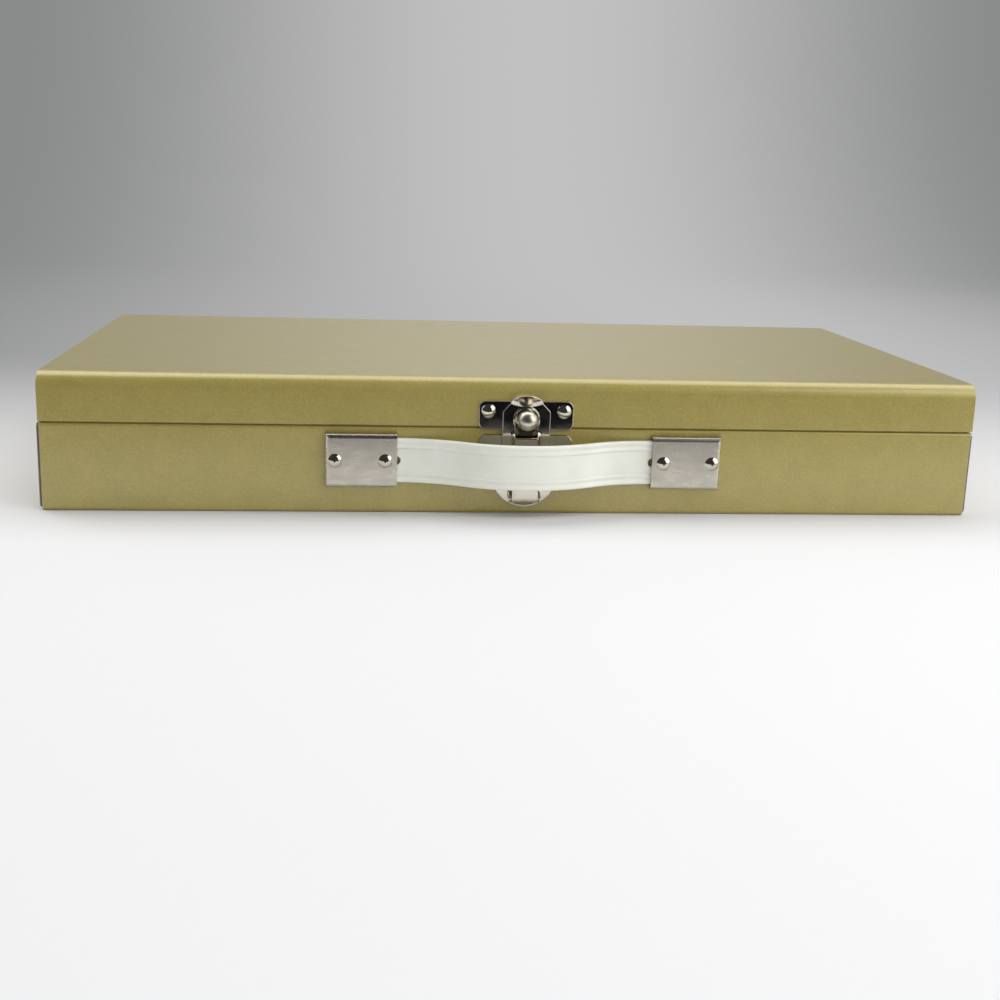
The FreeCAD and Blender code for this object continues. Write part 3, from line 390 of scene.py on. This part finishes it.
def steel_material(name, bare, rough):
    """Drawn steel: grey, with fine lines along its length and an uneven dull film."""
    material, tree, shader, where = new_material(name)
    along = add_node(tree, "ShaderNodeMapping", {"Vector": where, "Scale": (0.08, 1.0, 1.0)})
    line = add_node(
        tree, NOISE, {"Vector": along.outputs[0], "Scale": 1 / (0.5 * MM), "Detail": 3.0}
    ).outputs["Fac"]
    film = add_node(tree, SPREAD, {"Value": line, "From Min": 0.4, "From Max": 0.75, "To Max": 0.7})
    film_shade = 0.6
    dull = tuple(part * film_shade for part in bare)
    tint = add_node(
        tree,
        MIX,
        {MIX_SHARE: film.outputs[0], MIX_FROM: rgba(bare), MIX_TO: rgba(dull)},
        data_type="RGBA",
    ).outputs[MIX_RESULT]
    least, most = rough - 0.06, rough + 0.1
    gloss = add_node(
        tree, SPREAD, {"Value": line, "From Min": 0.3, "From Max": 0.7, "To Min": least, "To Max": most}
    )
    skin = add_node(tree, BUMP, {"Height": line, "Distance": 0.01 * MM, "Strength": 0.4})
    drawn = {"Base Color": tint, "Roughness": gloss.outputs[0], "Normal": skin.outputs["Normal"]}
    fill(tree, shader, {**drawn, "Metallic": 1.0})
    return material


def vinyl_material(finish):
    """Moulded plasticised vinyl.

    The eye gets a soft ivory white with a low satin sheen, a barely grey cast in
    broad clouds and a faint mould grain.
    """
    material, tree, shader, where = new_material("moulded_ivory_vinyl")
    cast = add_node(tree, NOISE, {"Vector": where, "Scale": 1 / (14 * MM), "Detail": 3.0}).outputs["Fac"]
    soil = add_node(tree, SPREAD, {"Value": cast, "From Min": 0.45, "From Max": 0.8, "To Max": 0.3})
    tint = add_node(
        tree,
        MIX,
        {MIX_SHARE: soil.outputs[0], MIX_FROM: rgba(finish.vinyl), MIX_TO: rgba(finish.vinyl_soil)},
        data_type="RGBA",
    ).outputs[MIX_RESULT]
    rough = add_node(
        tree, SPREAD, {"Value": cast, "From Min": 0.3, "From Max": 0.7, "To Min": 0.34, "To Max": 0.46}
    )
    grain = add_node(tree, NOISE, {"Vector": where, "Scale": 1 / (0.5 * MM), "Detail": 2.0}).outputs["Fac"]
    skin = add_node(tree, BUMP, {"Height": grain, "Distance": 0.012 * MM, "Strength": 0.4})
    moulded = {"Base Color": tint, "Roughness": rough.outputs[0], "Normal": skin.outputs["Normal"]}
    depth = {"Subsurface Weight": 0.15, "Subsurface Radius": (0.6 * MM, 0.5 * MM, 0.4 * MM)}
    fill(tree, shader, {**moulded, "IOR": 1.53, **depth})
    return material


def paper_material(studio):
    """Matt background paper.

    The eye gets a pale floor that greys behind the case. Well behind it, camera and
    reflections get an even grey that falls off to the sides.
    """
    material, tree, shader, where = new_material("matt_paper_sweep")
    split = add_node(tree, "ShaderNodeSeparateXYZ", {"Vector": where})
    away = add_node(
        tree,
        SPREAD,
        {"Value": split.outputs["Y"], "From Min": -0.3, "From Max": 0.5},
        interpolation_type="SMOOTHSTEP",
    )
    tint = add_node(
        tree,
        MIX,
        {MIX_SHARE: away.outputs[0], MIX_FROM: rgba(studio.paper), MIX_TO: rgba(studio.paper_far)},
        data_type="RGBA",
    ).outputs[MIX_RESULT]
    fill(tree, shader, {"Base Color": tint, "Roughness": 0.9, "Specular IOR Level": 0.1})
    shift = add_node(tree, MATH, {0: split.outputs["X"], 1: studio.glow_middle}, operation="SUBTRACT")
    aside = add_node(tree, MATH, {0: shift.outputs[0]}, operation="ABSOLUTE")
    fall = add_node(
        tree,
        SPREAD,
        {"Value": aside.outputs[0], "From Min": 0.0, "From Max": 0.8},
        interpolation_type="SMOOTHSTEP",
    )
    grey = add_node(
        tree,
        MIX,
        {MIX_SHARE: fall.outputs[0], MIX_FROM: rgba(studio.glow), MIX_TO: rgba(studio.glow_side)},
        data_type="RGBA",
    ).outputs[MIX_RESULT]
    behind = add_node(
        tree,
        SPREAD,
        {"Value": split.outputs["Y"], "From Min": -0.05, "From Max": 0.35},
        interpolation_type="SMOOTHSTEP",
    )
    path = add_node(tree, "ShaderNodeLightPath").outputs
    seen = add_node(tree, MATH, {0: path["Is Camera Ray"], 1: path["Is Glossy Ray"]}, operation="ADD")
    looked = add_node(
        tree, MATH, {0: seen.outputs[0], 1: path["Is Transmission Ray"]}, operation="ADD", use_clamp=True
    )
    amount = add_node(tree, MATH, {0: looked.outputs[0], 1: behind.outputs[0]}, operation="MULTIPLY")
    glow = add_node(tree, "ShaderNodeEmission", {"Color": grey, "Strength": 1.0})
    both = add_node(
        tree,
        "ShaderNodeMixShader",
        {0: amount.outputs[0], 1: shader.outputs["BSDF"], 2: glow.outputs[0]},
    )
    fill(tree, tree.nodes["Material Output"], {"Surface": both.outputs[0]})
    return material


def card_material(studio):
    """Matt black card, whose near edge fades out so that no hard line shows in the plating."""
    material, tree, shader, where = new_material("black_card")
    mottle = add_node(tree, NOISE, {"Vector": where, "Scale": 1 / (40 * MM)}).outputs["Fac"]
    tint = add_node(
        tree,
        MIX,
        {MIX_SHARE: mottle, MIX_FROM: rgba(studio.card), MIX_TO: rgba(studio.card_mottle)},
        data_type="RGBA",
    ).outputs[MIX_RESULT]
    fill(tree, shader, {"Base Color": tint, "Roughness": 0.9, "Specular IOR Level": 0.0})
    depth = add_node(tree, "ShaderNodeSeparateXYZ", {"Vector": where}).outputs["Y"]
    fade = add_node(
        tree,
        SPREAD,
        {"Value": depth, "From Min": -0.2, "From Max": -0.29},
        interpolation_type="SMOOTHSTEP",
    )
    clear = add_node(tree, "ShaderNodeBsdfTransparent")
    faded = add_node(
        tree,
        "ShaderNodeMixShader",
        {0: fade.outputs[0], 1: clear.outputs[0], 2: shader.outputs["BSDF"]},
    )
    fill(tree, tree.nodes["Material Output"], {"Surface": faded.outputs[0]})
    return material


def room_world(studio):
    """A room that lights the case dimly and evenly, and that the camera sees as pale."""
    world = bpy.data.worlds.new("dim_room")
    world.use_nodes = True
    tree = world.node_tree
    seen = add_node(tree, "ShaderNodeLightPath").outputs["Is Camera Ray"]
    extra = studio.room_seen - studio.room_light
    level = add_node(tree, MATH, {0: seen, 1: extra, 2: studio.room_light}, operation="MULTIPLY_ADD")
    fill(tree, tree.nodes["Background"], {"Color": rgba(studio.room), "Strength": level.outputs[0]})
    return world


def dress(nodes, material):
    """Give CAD nodes one material."""
    for name in nodes:
        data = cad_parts[name].data
        data.materials.clear()
        data.materials.append(material)


def smooth(value):
    """A soft step from 0 to 1: three times the square less twice the cube."""
    value = np.clip(value, 0, 1)
    return value * value * (3 - 2 * value)


def grid_faces(rows, columns, wrap=False, wrap_rows=False, start=0):
    """Quads between neighbouring rows and columns of a grid, which may close on itself either way."""
    across = np.arange(columns if wrap else columns - 1)
    after = (across + 1) % columns
    down = np.arange(rows if wrap_rows else rows - 1)[:, None]
    here = down * columns
    below = (down + 1) % rows * columns
    corners = [here + across, here + after, below + after, below + across]
    return start + np.stack(corners, axis=-1).reshape(-1, 4)


def tube_faces(rows, columns, start=0):
    """The sides of a closed tube, whose rows are rings of points, and a face over each end."""
    first = list(range(start, start + columns))
    last = list(range(start + (rows - 1) * columns, start + rows * columns))
    return [*grid_faces(rows, columns, True, False, start).tolist(), first[::-1], last]


def make_piece(name, points, faces, material):
    """A smooth mesh object from an array of points and a list of faces."""
    mesh = bpy.data.meshes.new(name)
    mesh.from_pydata(points.reshape(-1, 3).tolist(), [], faces)
    mesh.validate()
    mesh.polygons.foreach_set("use_smooth", np.ones(len(mesh.polygons), dtype=bool))
    mesh.set_sharp_from_angle(angle=SHARP_ANGLE)
    mesh.materials.append(material)
    piece = bpy.data.objects.new(name, mesh)
    bpy.context.scene.collection.objects.link(piece)
    return piece


class CASHBOX_OT_case(bpy.types.Operator):
    """Enamel the folded sheets and end panels of lid and base"""

    bl_idname = "cash_box.case"
    bl_label = "Case"

    def execute(self, context):
        finish = settings(context, "finish")
        sheets = ["base_wrap", "lid_wrap", "lid_end_left", "lid_end_right"]
        dress(sheets, enamel_material(finish, "baked_metallic_enamel"))
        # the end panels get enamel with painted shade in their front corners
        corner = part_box("base_end_left")[0][1] + finish.recess
        ends = ["base_end_left", "base_end_right"]
        dress(ends, enamel_material(finish, "baked_enamel_with_painted_corner_shade", corner))
        return {"FINISHED"}


class CASHBOX_OT_hinge(bpy.types.Operator):
    """Finish the leaves and the pin of the rear hinge"""

    bl_idname = "cash_box.hinge"
    bl_label = "Hinge"

    def execute(self, context):
        finish = settings(context, "finish")
        steel = steel_material("drawn_hinge_steel", finish.steel, rough=0.34)
        dress(["hinge_leaf_base", "hinge_leaf_lid", "hinge_pin"], steel)
        return {"FINISHED"}


def hasp_outline(sizes, count):
    """The hasp's outer edge, seen from the front, with the direction square to it.

    Straight tail, shoulders and sides lead to slanted corners; the thumb lip
    ends in half an ellipse. Points are evenly spaced along the edge.
    """
    turn = np.linspace(0, math.pi / 2, 40)
    lip = sizes.lip_half * np.cos(turn)
    arch = sizes.lip_foot + (sizes.lip_top - sizes.lip_foot) * np.sin(turn)
    sides = [
        (sizes.tail_half, sizes.tab_end - sizes.sheet / 2),
        (sizes.tail_half, sizes.tail_top),
        (sizes.half, sizes.tail_spread),
        (sizes.half, sizes.corner),
    ]
    right = np.concatenate([np.array(sides), np.column_stack([lip, arch])])
    left = right[-2::-1] * (-1, 1)
    loop = np.concatenate([right, left, right[:1]])
    along = np.concatenate([[0], np.cumsum(np.hypot(*np.diff(loop, axis=0).T))])
    even = np.linspace(0, along[-1], count, endpoint=False)
    points = np.column_stack([np.interp(even, along, loop[:, 0]), np.interp(even, along, loop[:, 1])])
    ahead = np.roll(points, -1, axis=0) - np.roll(points, 1, axis=0)
    ahead /= np.hypot(*ahead.T)[:, None]
    return points, np.column_stack([ahead[:, 1], -ahead[:, 0]])


def hasp_height(sizes, x, z):
    """Distance of the hasp's front from the case wall.

    A flat sheet plus a rib or a collar, whichever is higher, and a lip. The rib
    is a soft step across its side times a soft step at each end. The collar is a
    soft step round the hole times a soft step at its lower ends. The lip rises
    with the square of the distance above a curved bend.
    """
    widen = sizes.rib_widen * smooth((z - sizes.rib_low) / (sizes.tail_spread - sizes.rib_low))
    narrow = sizes.rib_narrow * smooth((z - sizes.rib_neck) / sizes.rib_neck_run)
    foot = sizes.rib_half + widen - narrow
    start = smooth((z - sizes.rib_low) / sizes.rib_start_run)
    stop = 1 - smooth((z - sizes.mouth) / sizes.rib_stop_run)
    rib = sizes.rib_height * start * stop * smooth((foot - np.abs(x)) / sizes.rib_side)
    from_hole = np.hypot(x, z - sizes.hole_height) - sizes.hole
    collar = sizes.collar * smooth((sizes.collar_width - from_hole) / sizes.collar_side)
    collar = collar * smooth((z - sizes.collar_foot) / sizes.collar_run)
    bend = sizes.lip_bend + sizes.lip_bend_rise * (x / sizes.lip_half) ** 2
    lip = sizes.lip_flare * (np.maximum(z - bend, 0) / MM) ** 2
    return sizes.back + sizes.sheet + np.maximum(rib, collar) + lip


def keyhole_edge(sizes, middle, ray):
    """The keyhole's edge on rays from the middle of its hole.

    The keyhole is a circle joined with a straight mouth below it. On each ray the
    edge is the farther one of the circle's and the mouth's.
    """
    tiny = 1e-6
    down = (sizes.hole_height - sizes.mouth) / np.maximum(-ray[:, 1], tiny)
    aside = sizes.mouth_half / np.maximum(np.abs(ray[:, 0]), tiny)
    mouth = np.where(ray[:, 1] < 0, np.minimum(down, aside), 0)
    return middle + ray * np.maximum(sizes.hole, mouth)[:, None]


def hasp_surface(sizes):
    """Front and back of the hasp as one grid that closes on itself both ways.

    Columns go round the edge. Rows go from the keyhole straight out to the edge,
    over a rim that is a quarter circle, and back behind. The keyhole's front edge
    is a quarter circle too, with a larger radius along the foot of the mouth.
    """
    edge, outwards = hasp_outline(sizes, EDGE_STEPS)
    middle = np.array([0, sizes.hole_height])
    ray = edge - middle
    ray = ray / np.hypot(*ray.T)[:, None]
    inner = keyhole_edge(sizes, middle, ray)
    radius = sizes.edge_round
    rim = edge - outwards * radius
    part = (1 - np.cos(np.linspace(0, math.pi, SHEET_STEPS)))[:, None, None] / 2
    flat = inner + (rim - inner) * part
    turn = np.linspace(0, math.pi / 2, 7)[1:, None]
    curl = rim + outwards * (radius * np.sin(turn))[..., None]
    plan = np.concatenate([flat, curl])
    front = hasp_height(sizes, plan[..., 0], plan[..., 1])
    front[len(flat) :] = front[len(flat) - 1] - radius * (1 - np.cos(turn))
    at_foot = smooth((sizes.mouth + sizes.mouth_round - inner[:, 1]) / sizes.mouth_round)
    hole_radius = radius + sizes.mouth_round * at_foot
    near = np.clip(1 - np.hypot(*np.moveaxis(flat - inner, -1, 0)) / hole_radius, 0, 1)
    front[: len(flat)] -= hole_radius * (1 - np.sqrt(1 - near**2))
    behind = hasp_height(sizes, flat[..., 0], flat[..., 1]) - sizes.sheet
    behind = np.concatenate([front[-1:] - sizes.sheet + radius, behind[::-1]])
    plan = np.concatenate([plan, plan[-1:], flat[::-1]])
    return np.concatenate([plan, np.concatenate([front, behind])[..., None]], axis=-1)


def hasp_tab(sizes):
    """The lower end of the sheet, which leans out to a straight tab and rolls round the pin.

    Its outline, seen from the side, goes down the inner line of the tab, round the
    pin on a circle and up the outer line. Both lines are straight and then half a
    cosine wave, one sheet thickness apart. The outline is carried across, and
    drawn in by a quarter circle at both ends.
    """
    curl_start = math.radians(60)
    turn = np.linspace(curl_start, 2 * math.pi, 60)
    wave = np.linspace(0, math.pi, 24)
    sheet = sizes.back + sizes.sheet
    knob = sizes.pin_out + sizes.roll
    round_pin = sizes.roll * np.column_stack([np.cos(turn), np.sin(turn)])
    curl = round_pin + (sizes.pin_out, sizes.pin_height)
    lean = sheet + (knob - sheet) * (1 + np.cos(wave)) / 2
    outer = np.column_stack([lean, np.linspace(sizes.tab_top, sizes.tab_end, len(wave))])
    inner = outer[::-1] - (sizes.sheet, 0)
    outline = np.concatenate([inner, curl, outer])
    ahead = np.roll(outline, -1, axis=0) - np.roll(outline, 1, axis=0)
    ahead /= np.hypot(*ahead.T)[:, None]
    inwards = np.column_stack([-ahead[:, 1], ahead[:, 0]])
    bend = np.linspace(math.pi / 2, 0, 5)
    inset = sizes.edge_round * (1 - np.cos(bend))
    place = sizes.edge_round * (1 - np.sin(bend)) - sizes.tail_half
    inset = np.concatenate([inset, inset[::-1]])
    place = np.concatenate([place, -place[::-1]])
    rings = outline + inwards * inset[:, None, None]
    across = np.broadcast_to(place[:, None, None], (*rings.shape[:2], 1))
    return np.concatenate([across, rings[..., 1:], rings[..., :1]], axis=-1)


class CASHBOX_OT_hasp(bpy.types.Operator):
    """Press the hasp: rib, collared keyhole, dished thumb lip and rolled end"""

    bl_idname = "cash_box.hasp"
    bl_label = "Hasp"

    def execute(self, context):
        sizes = settings(context, "hasp")
        low, high = (np.array(corner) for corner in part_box("hasp"))
        middle = (low[0] + high[0]) / 2
        wall = high[1] + sizes.back
        sheet = hasp_surface(sizes)
        tab = hasp_tab(sizes)
        across, upright, out = np.concatenate([sheet.reshape(-1, 3), tab.reshape(-1, 3)]).T
        points = np.column_stack([middle + across, wall - out, upright])
        # seen from outside, the faces of both grids run clockwise, so they are turned round
        faces = grid_faces(*sheet.shape[:2], True, True)[:, ::-1].tolist()
        faces += [face[::-1] for face in tube_faces(*tab.shape[:2], sheet[..., 0].size)]
        piece = make_piece("hasp_pressing", points, faces, bright_nickel(settings(context, "finish")))
        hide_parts("hasp")
        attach(piece, "hasp")
        return {"FINISHED"}


class CASHBOX_OT_hardware(bpy.types.Operator):
    """Plate the hasp's plates, pin, stud and all rivets, and blue the leaf spring"""

    bl_idname = "cash_box.hardware"
    bl_label = "Hardware"

    def execute(self, context):
        finish = settings(context, "finish")
        rivets = ["strike_rivets", "catch_rivets", "bracket_rivets"]
        dress(["strike_plate", "catch_plate", "hasp_pin", *rivets], bright_nickel(finish))
        dress(["ball_stud"], nickel_material(finish, "satin_nickel_ball", least=0.3, most=0.38))
        dress(["hasp_spring"], steel_material("blued_spring_steel", finish.spring, rough=0.3))
        return {"FINISHED"}


class CASHBOX_OT_brackets(bpy.types.Operator):
    """Finish the folded covers over the strap ends"""

    bl_idname = "cash_box.brackets"
    bl_label = "Brackets"

    def execute(self, context):
        dress(["bracket_left", "bracket_right"], satin_material(settings(context, "finish")))
        return {"FINISHED"}


def strap_run(sizes, count):
    """The strap's path from one end to the middle, as distance from the middle, distance out and lean.

    The path is straight in the bracket, then leans out at a steady rate for one
    arc and back again for a second arc of the same radius. Its points are the
    sums of the cosine and the sine of the lean along the path.
    """
    radius = (sizes.mouth**2 + sizes.bow**2) / (4 * sizes.bow)
    most = math.asin(sizes.mouth / 2 / radius)
    straight = sizes.end - sizes.mouth
    arc = radius * most
    along = np.linspace(0, straight + 2 * arc, count)
    lean = np.interp(along, [0, straight, straight + arc, straight + 2 * arc], [0, 0, most, 0])
    step = along[1] - along[0]
    middle = (lean[1:] + lean[:-1]) / 2
    inward = np.concatenate([[0], np.cumsum(np.cos(middle) * step)])
    outward = np.concatenate([[0], np.cumsum(np.sin(middle) * step)])
    return sizes.end * (1 - inward / inward[-1]), sizes.middle_out + outward, lean


def strap_section(sizes):
    """The strap's closed outline as height and distance out.

    From each long edge inwards the front is a quarter circle up to an edge bead,
    half a cosine wave down to a valley and up to a second bead, and a quarter
    ellipse that falls steeply to a flat middle with a crown, a quarter of a sine
    wave. The back is flat with quarter circles at its corners.
    """
    half = sizes.width / 2
    crest = sizes.thick / 2
    quarter = np.linspace(0, math.pi / 2, 9)
    wave = np.linspace(0, math.pi, 13)
    side = crest - sizes.edge_bead
    valley = crest - sizes.valley_depth
    second = crest - sizes.second_depth
    flat = crest - sizes.panel_depth
    bead_in = sizes.edge_bead * (1 - np.cos(quarter))
    bead = np.column_stack([bead_in, side + sizes.edge_bead * np.sin(quarter)])
    fall_in = np.linspace(sizes.edge_bead, sizes.valley, len(wave))
    fall = np.column_stack([fall_in, valley + (crest - valley) * (1 + np.cos(wave)) / 2])
    rise_in = np.linspace(sizes.valley, sizes.second_bead, len(wave))
    rise = np.column_stack([rise_in, valley + (second - valley) * (1 - np.cos(wave)) / 2])
    drop_in = sizes.second_bead + (sizes.panel_edge - sizes.second_bead) * np.sin(quarter)
    drop = np.column_stack([drop_in, flat + (second - flat) * np.cos(quarter)])
    panel_in = np.linspace(sizes.panel_edge, half, 14)
    swell = np.sin((panel_in - sizes.panel_edge) / (half - sizes.panel_edge) * math.pi / 2)
    panel = np.column_stack([panel_in, flat + sizes.crown * swell])
    front = np.concatenate([bead, fall[1:], rise[1:], drop[1:], panel[1:]])
    front[:, 0] = half - front[:, 0]
    corner = sizes.back_corner
    turned = corner * np.column_stack([np.sin(quarter), -np.cos(quarter)])
    back_corner = turned + (half - corner, corner - crest)
    plain = np.linspace(0, half - corner, 8)[:-1]
    back = np.column_stack([plain, np.full_like(plain, -crest)])
    upper = np.concatenate([back, back_corner, front])
    lower = upper[-2:0:-1] * (-1, 1)
    return np.concatenate([upper, lower])


def slot_bar(sizes, side, middle, front, centre):
    """A bar with round ends that runs through the strap end from back to front.

    Its outline is two half circles joined by straight sides, carried outwards.
    """
    turn = np.linspace(0, 2 * math.pi, 48, endpoint=False)
    outer, inner = sizes.slot_end - sizes.slot_half, sizes.slot_start + sizes.slot_half
    ends = np.where(np.cos(turn) > 0, outer, inner)
    across = middle + side * (ends + sizes.slot_half * np.cos(turn))
    upright = centre + sizes.slot_half * np.sin(turn)
    behind, before = -1.0 * MM, 9.0 * MM
    depth = front - np.array([[behind], [before]])
    points = np.stack(np.broadcast_arrays(across, depth, upright), axis=-1)
    # the left bar mirrors the right one, so its points run the other way round
    return points[:, ::side]


class CASHBOX_OT_strap(bpy.types.Operator):
    """Make the two halves of the moulded strap, which bow out from the brackets to the grip in the middle"""

    bl_idname = "cash_box.strap"
    bl_label = "Strap"

    def execute(self, context):
        sizes = settings(context, "strap")
        material = vinyl_material(settings(context, "finish"))
        low, high = (np.array(corner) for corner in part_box("handle_strap"))
        middle = (low[0] + high[0]) / 2
        centre = (low[2] + high[2]) / 2
        front = high[1] + sizes.middle_out - sizes.thick / 2
        away, out, lean = (line[:, None] for line in strap_run(sizes, STRAP_STEPS))
        height, reach = strap_section(sizes).T
        across = away + np.sin(lean) * reach
        outward = out + np.cos(lean) * reach
        upright = np.broadcast_to(centre + height, across.shape)
        for name, side in (("strap_half_left", -1), ("strap_half_right", 1)):
            points = np.stack([middle + side * across, front - outward, upright], axis=-1)
            # the right half mirrors the left one, so its points run the other way round
            piece = make_piece(name, points[:, ::-side], tube_faces(*across.shape), material)
            self.cut_slot(context, piece, slot_bar(sizes, side, middle, front, centre))
            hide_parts("handle_strap")
            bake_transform(piece)
        return {"FINISHED"}

    def cut_slot(self, context, piece, points):
        """Take the rivet slot out of a strap end."""
        bar = make_piece("slot_bar", points, tube_faces(*points.shape[:2]), piece.data.materials[0])
        cut = piece.modifiers.new("slot", "BOOLEAN")
        cut.operation = "DIFFERENCE"
        cut.solver = "EXACT"
        cut.object = bar
        graph = context.evaluated_depsgraph_get()
        mesh = bpy.data.meshes.new_from_object(piece.evaluated_get(graph))
        piece.modifiers.clear()
        old = piece.data
        piece.data = mesh
        bpy.data.meshes.remove(old)
        bpy.data.objects.remove(bar)
        mesh.set_sharp_from_angle(angle=SHARP_ANGLE)


class CASHBOX_OT_stage(bpy.types.Operator):
    """Set up paper, soft boxes and camera"""

    bl_idname = "cash_box.stage"
    bl_label = "Studio"

    def execute(self, context):
        studio = settings(context, "studio")
        self.paper(studio)
        self.card(studio)
        self.lights(context, studio)
        self.camera(context, studio)
        return {"FINISHED"}

    def paper(self, studio):
        """A sheet that lies flat and then rises behind in a quarter circle and a straight wall."""
        near, far, radius, top, half_width = -1.6, 1.1, 0.5, 2.2, 3.0
        lying = np.linspace(near, far, 28)[:-1]
        turn = np.linspace(0, math.pi / 2, 24)
        depth = np.concatenate([lying, far + radius * np.sin(turn), [far + radius]])
        height = np.concatenate([np.zeros_like(lying), radius - radius * np.cos(turn), [top]])
        width = np.linspace(-half_width, half_width, 25)
        points = np.stack(np.broadcast_arrays(width, depth[:, None], height[:, None]), axis=-1)
        faces = grid_faces(len(depth), len(width)).tolist()
        sheet = make_piece("paper_sweep", points, faces, paper_material(studio))

    def card(self, studio):
        """A flat dark card on the paper in front, seen only in reflections, as an unlit room is."""
        half_width, near, far, lift, steps = 0.8, -0.19, -1.5, 0.6 * MM, 9
        width = np.linspace(-half_width, half_width, steps)
        depth = np.linspace(near, far, steps)[:, None]
        points = np.stack(np.broadcast_arrays(width, depth, lift), axis=-1)
        faces = grid_faces(steps, steps)[:, ::-1].tolist()
        card = make_piece("black_card", points, faces, card_material(studio))
        card.visible_camera = False
        card.visible_diffuse = False
        card.visible_shadow = False
        card.visible_transmission = False

    def lights(self, context, studio):
        """A dim room, lit walls at both sides, a ceiling, and front fills that reflections leave out."""
        context.scene.world = room_world(studio)
        for name, place, target, size, power in LAMPS:
            data = bpy.data.lights.new(name, "AREA")
            data.shape = "RECTANGLE"
            data.size, data.size_y = size
            data.energy = power
            lamp = bpy.data.objects.new(name, data)
            lamp.visible_glossy = not name.startswith("fill")
            context.scene.collection.objects.link(lamp)
            aim = Vector(target) - Vector(place)
            turn = aim.to_track_quat("-Z", "Y").to_matrix().to_4x4()
            lamp.matrix_world = Matrix.Translation(place) @ turn

    def camera(self, context, studio):
        """The camera looks along a direction given by yaw and pitch and leans by roll."""
        level = math.cos(studio.pitch)
        down = math.sin(studio.pitch)
        ahead = Vector((math.sin(studio.yaw) * level, math.cos(studio.yaw) * level, -down))
        side = Vector((math.cos(studio.yaw), -math.sin(studio.yaw), 0))
        above = side.cross(ahead)
        right = math.cos(studio.roll) * side + math.sin(studio.roll) * above
        up = -math.sin(studio.roll) * side + math.cos(studio.roll) * above
        data = bpy.data.cameras.new("camera")
        data.lens = studio.focal
        data.sensor_width = 36.0
        data.clip_start = 0.01
        camera = bpy.data.objects.new("camera", data)
        context.scene.collection.objects.link(camera)
        turn = Matrix((right, up, -ahead)).transposed().to_4x4()
        camera.matrix_world = Matrix.Translation(studio.place) @ turn
        context.scene.camera = camera
        context.scene.view_settings.view_transform = "Standard"


class CASHBOX_PT_panel(bpy.types.Panel):
    """Lists the operators, and the sizes and colours that they use."""

    bl_idname = "CASHBOX_PT_panel"
    bl_label = "Cash box"
    bl_space_type = "VIEW_3D"
    bl_region_type = "UI"
    bl_category = "Cash box"

    def draw(self, context):
        for operator in OPERATORS:
            self.layout.operator(operator.bl_idname)
        for group, kind in GROUPS.items():
            box = self.layout.box()
            for name in kind.__annotations__:
                box.prop(settings(context, group), name)


OPERATORS = (
    CASHBOX_OT_case,
    CASHBOX_OT_hinge,
    CASHBOX_OT_hasp,
    CASHBOX_OT_hardware,
    CASHBOX_OT_brackets,
    CASHBOX_OT_strap,
    CASHBOX_OT_stage,
)
GROUPS = {"finish": CashBoxFinish, "hasp": CashBoxHasp, "strap": CashBoxStrap, "studio": CashBoxStudio}
CLASSES = (*GROUPS.values(), *OPERATORS, CASHBOX_PT_panel)


def register():
    """Register the classes and put the property groups on the scene."""
    for kind in CLASSES:
        bpy.utils.register_class(kind)
    for group, kind in GROUPS.items():
        setattr(bpy.types.Scene, f"cash_box_{group}", bpy.props.PointerProperty(type=kind))


def unregister():
    """Take everything out again."""
    for group in GROUPS:
        delattr(bpy.types.Scene, f"cash_box_{group}")
    for kind in reversed(CLASSES):
        bpy.utils.unregister_class(kind)


def main():
    """Make every piece and the studio."""
    register()
    for operator in OPERATORS:
        group, name = operator.bl_idname.split(".")
        getattr(getattr(bpy.ops, group), name)()


if __name__ == "__main__":
    main()
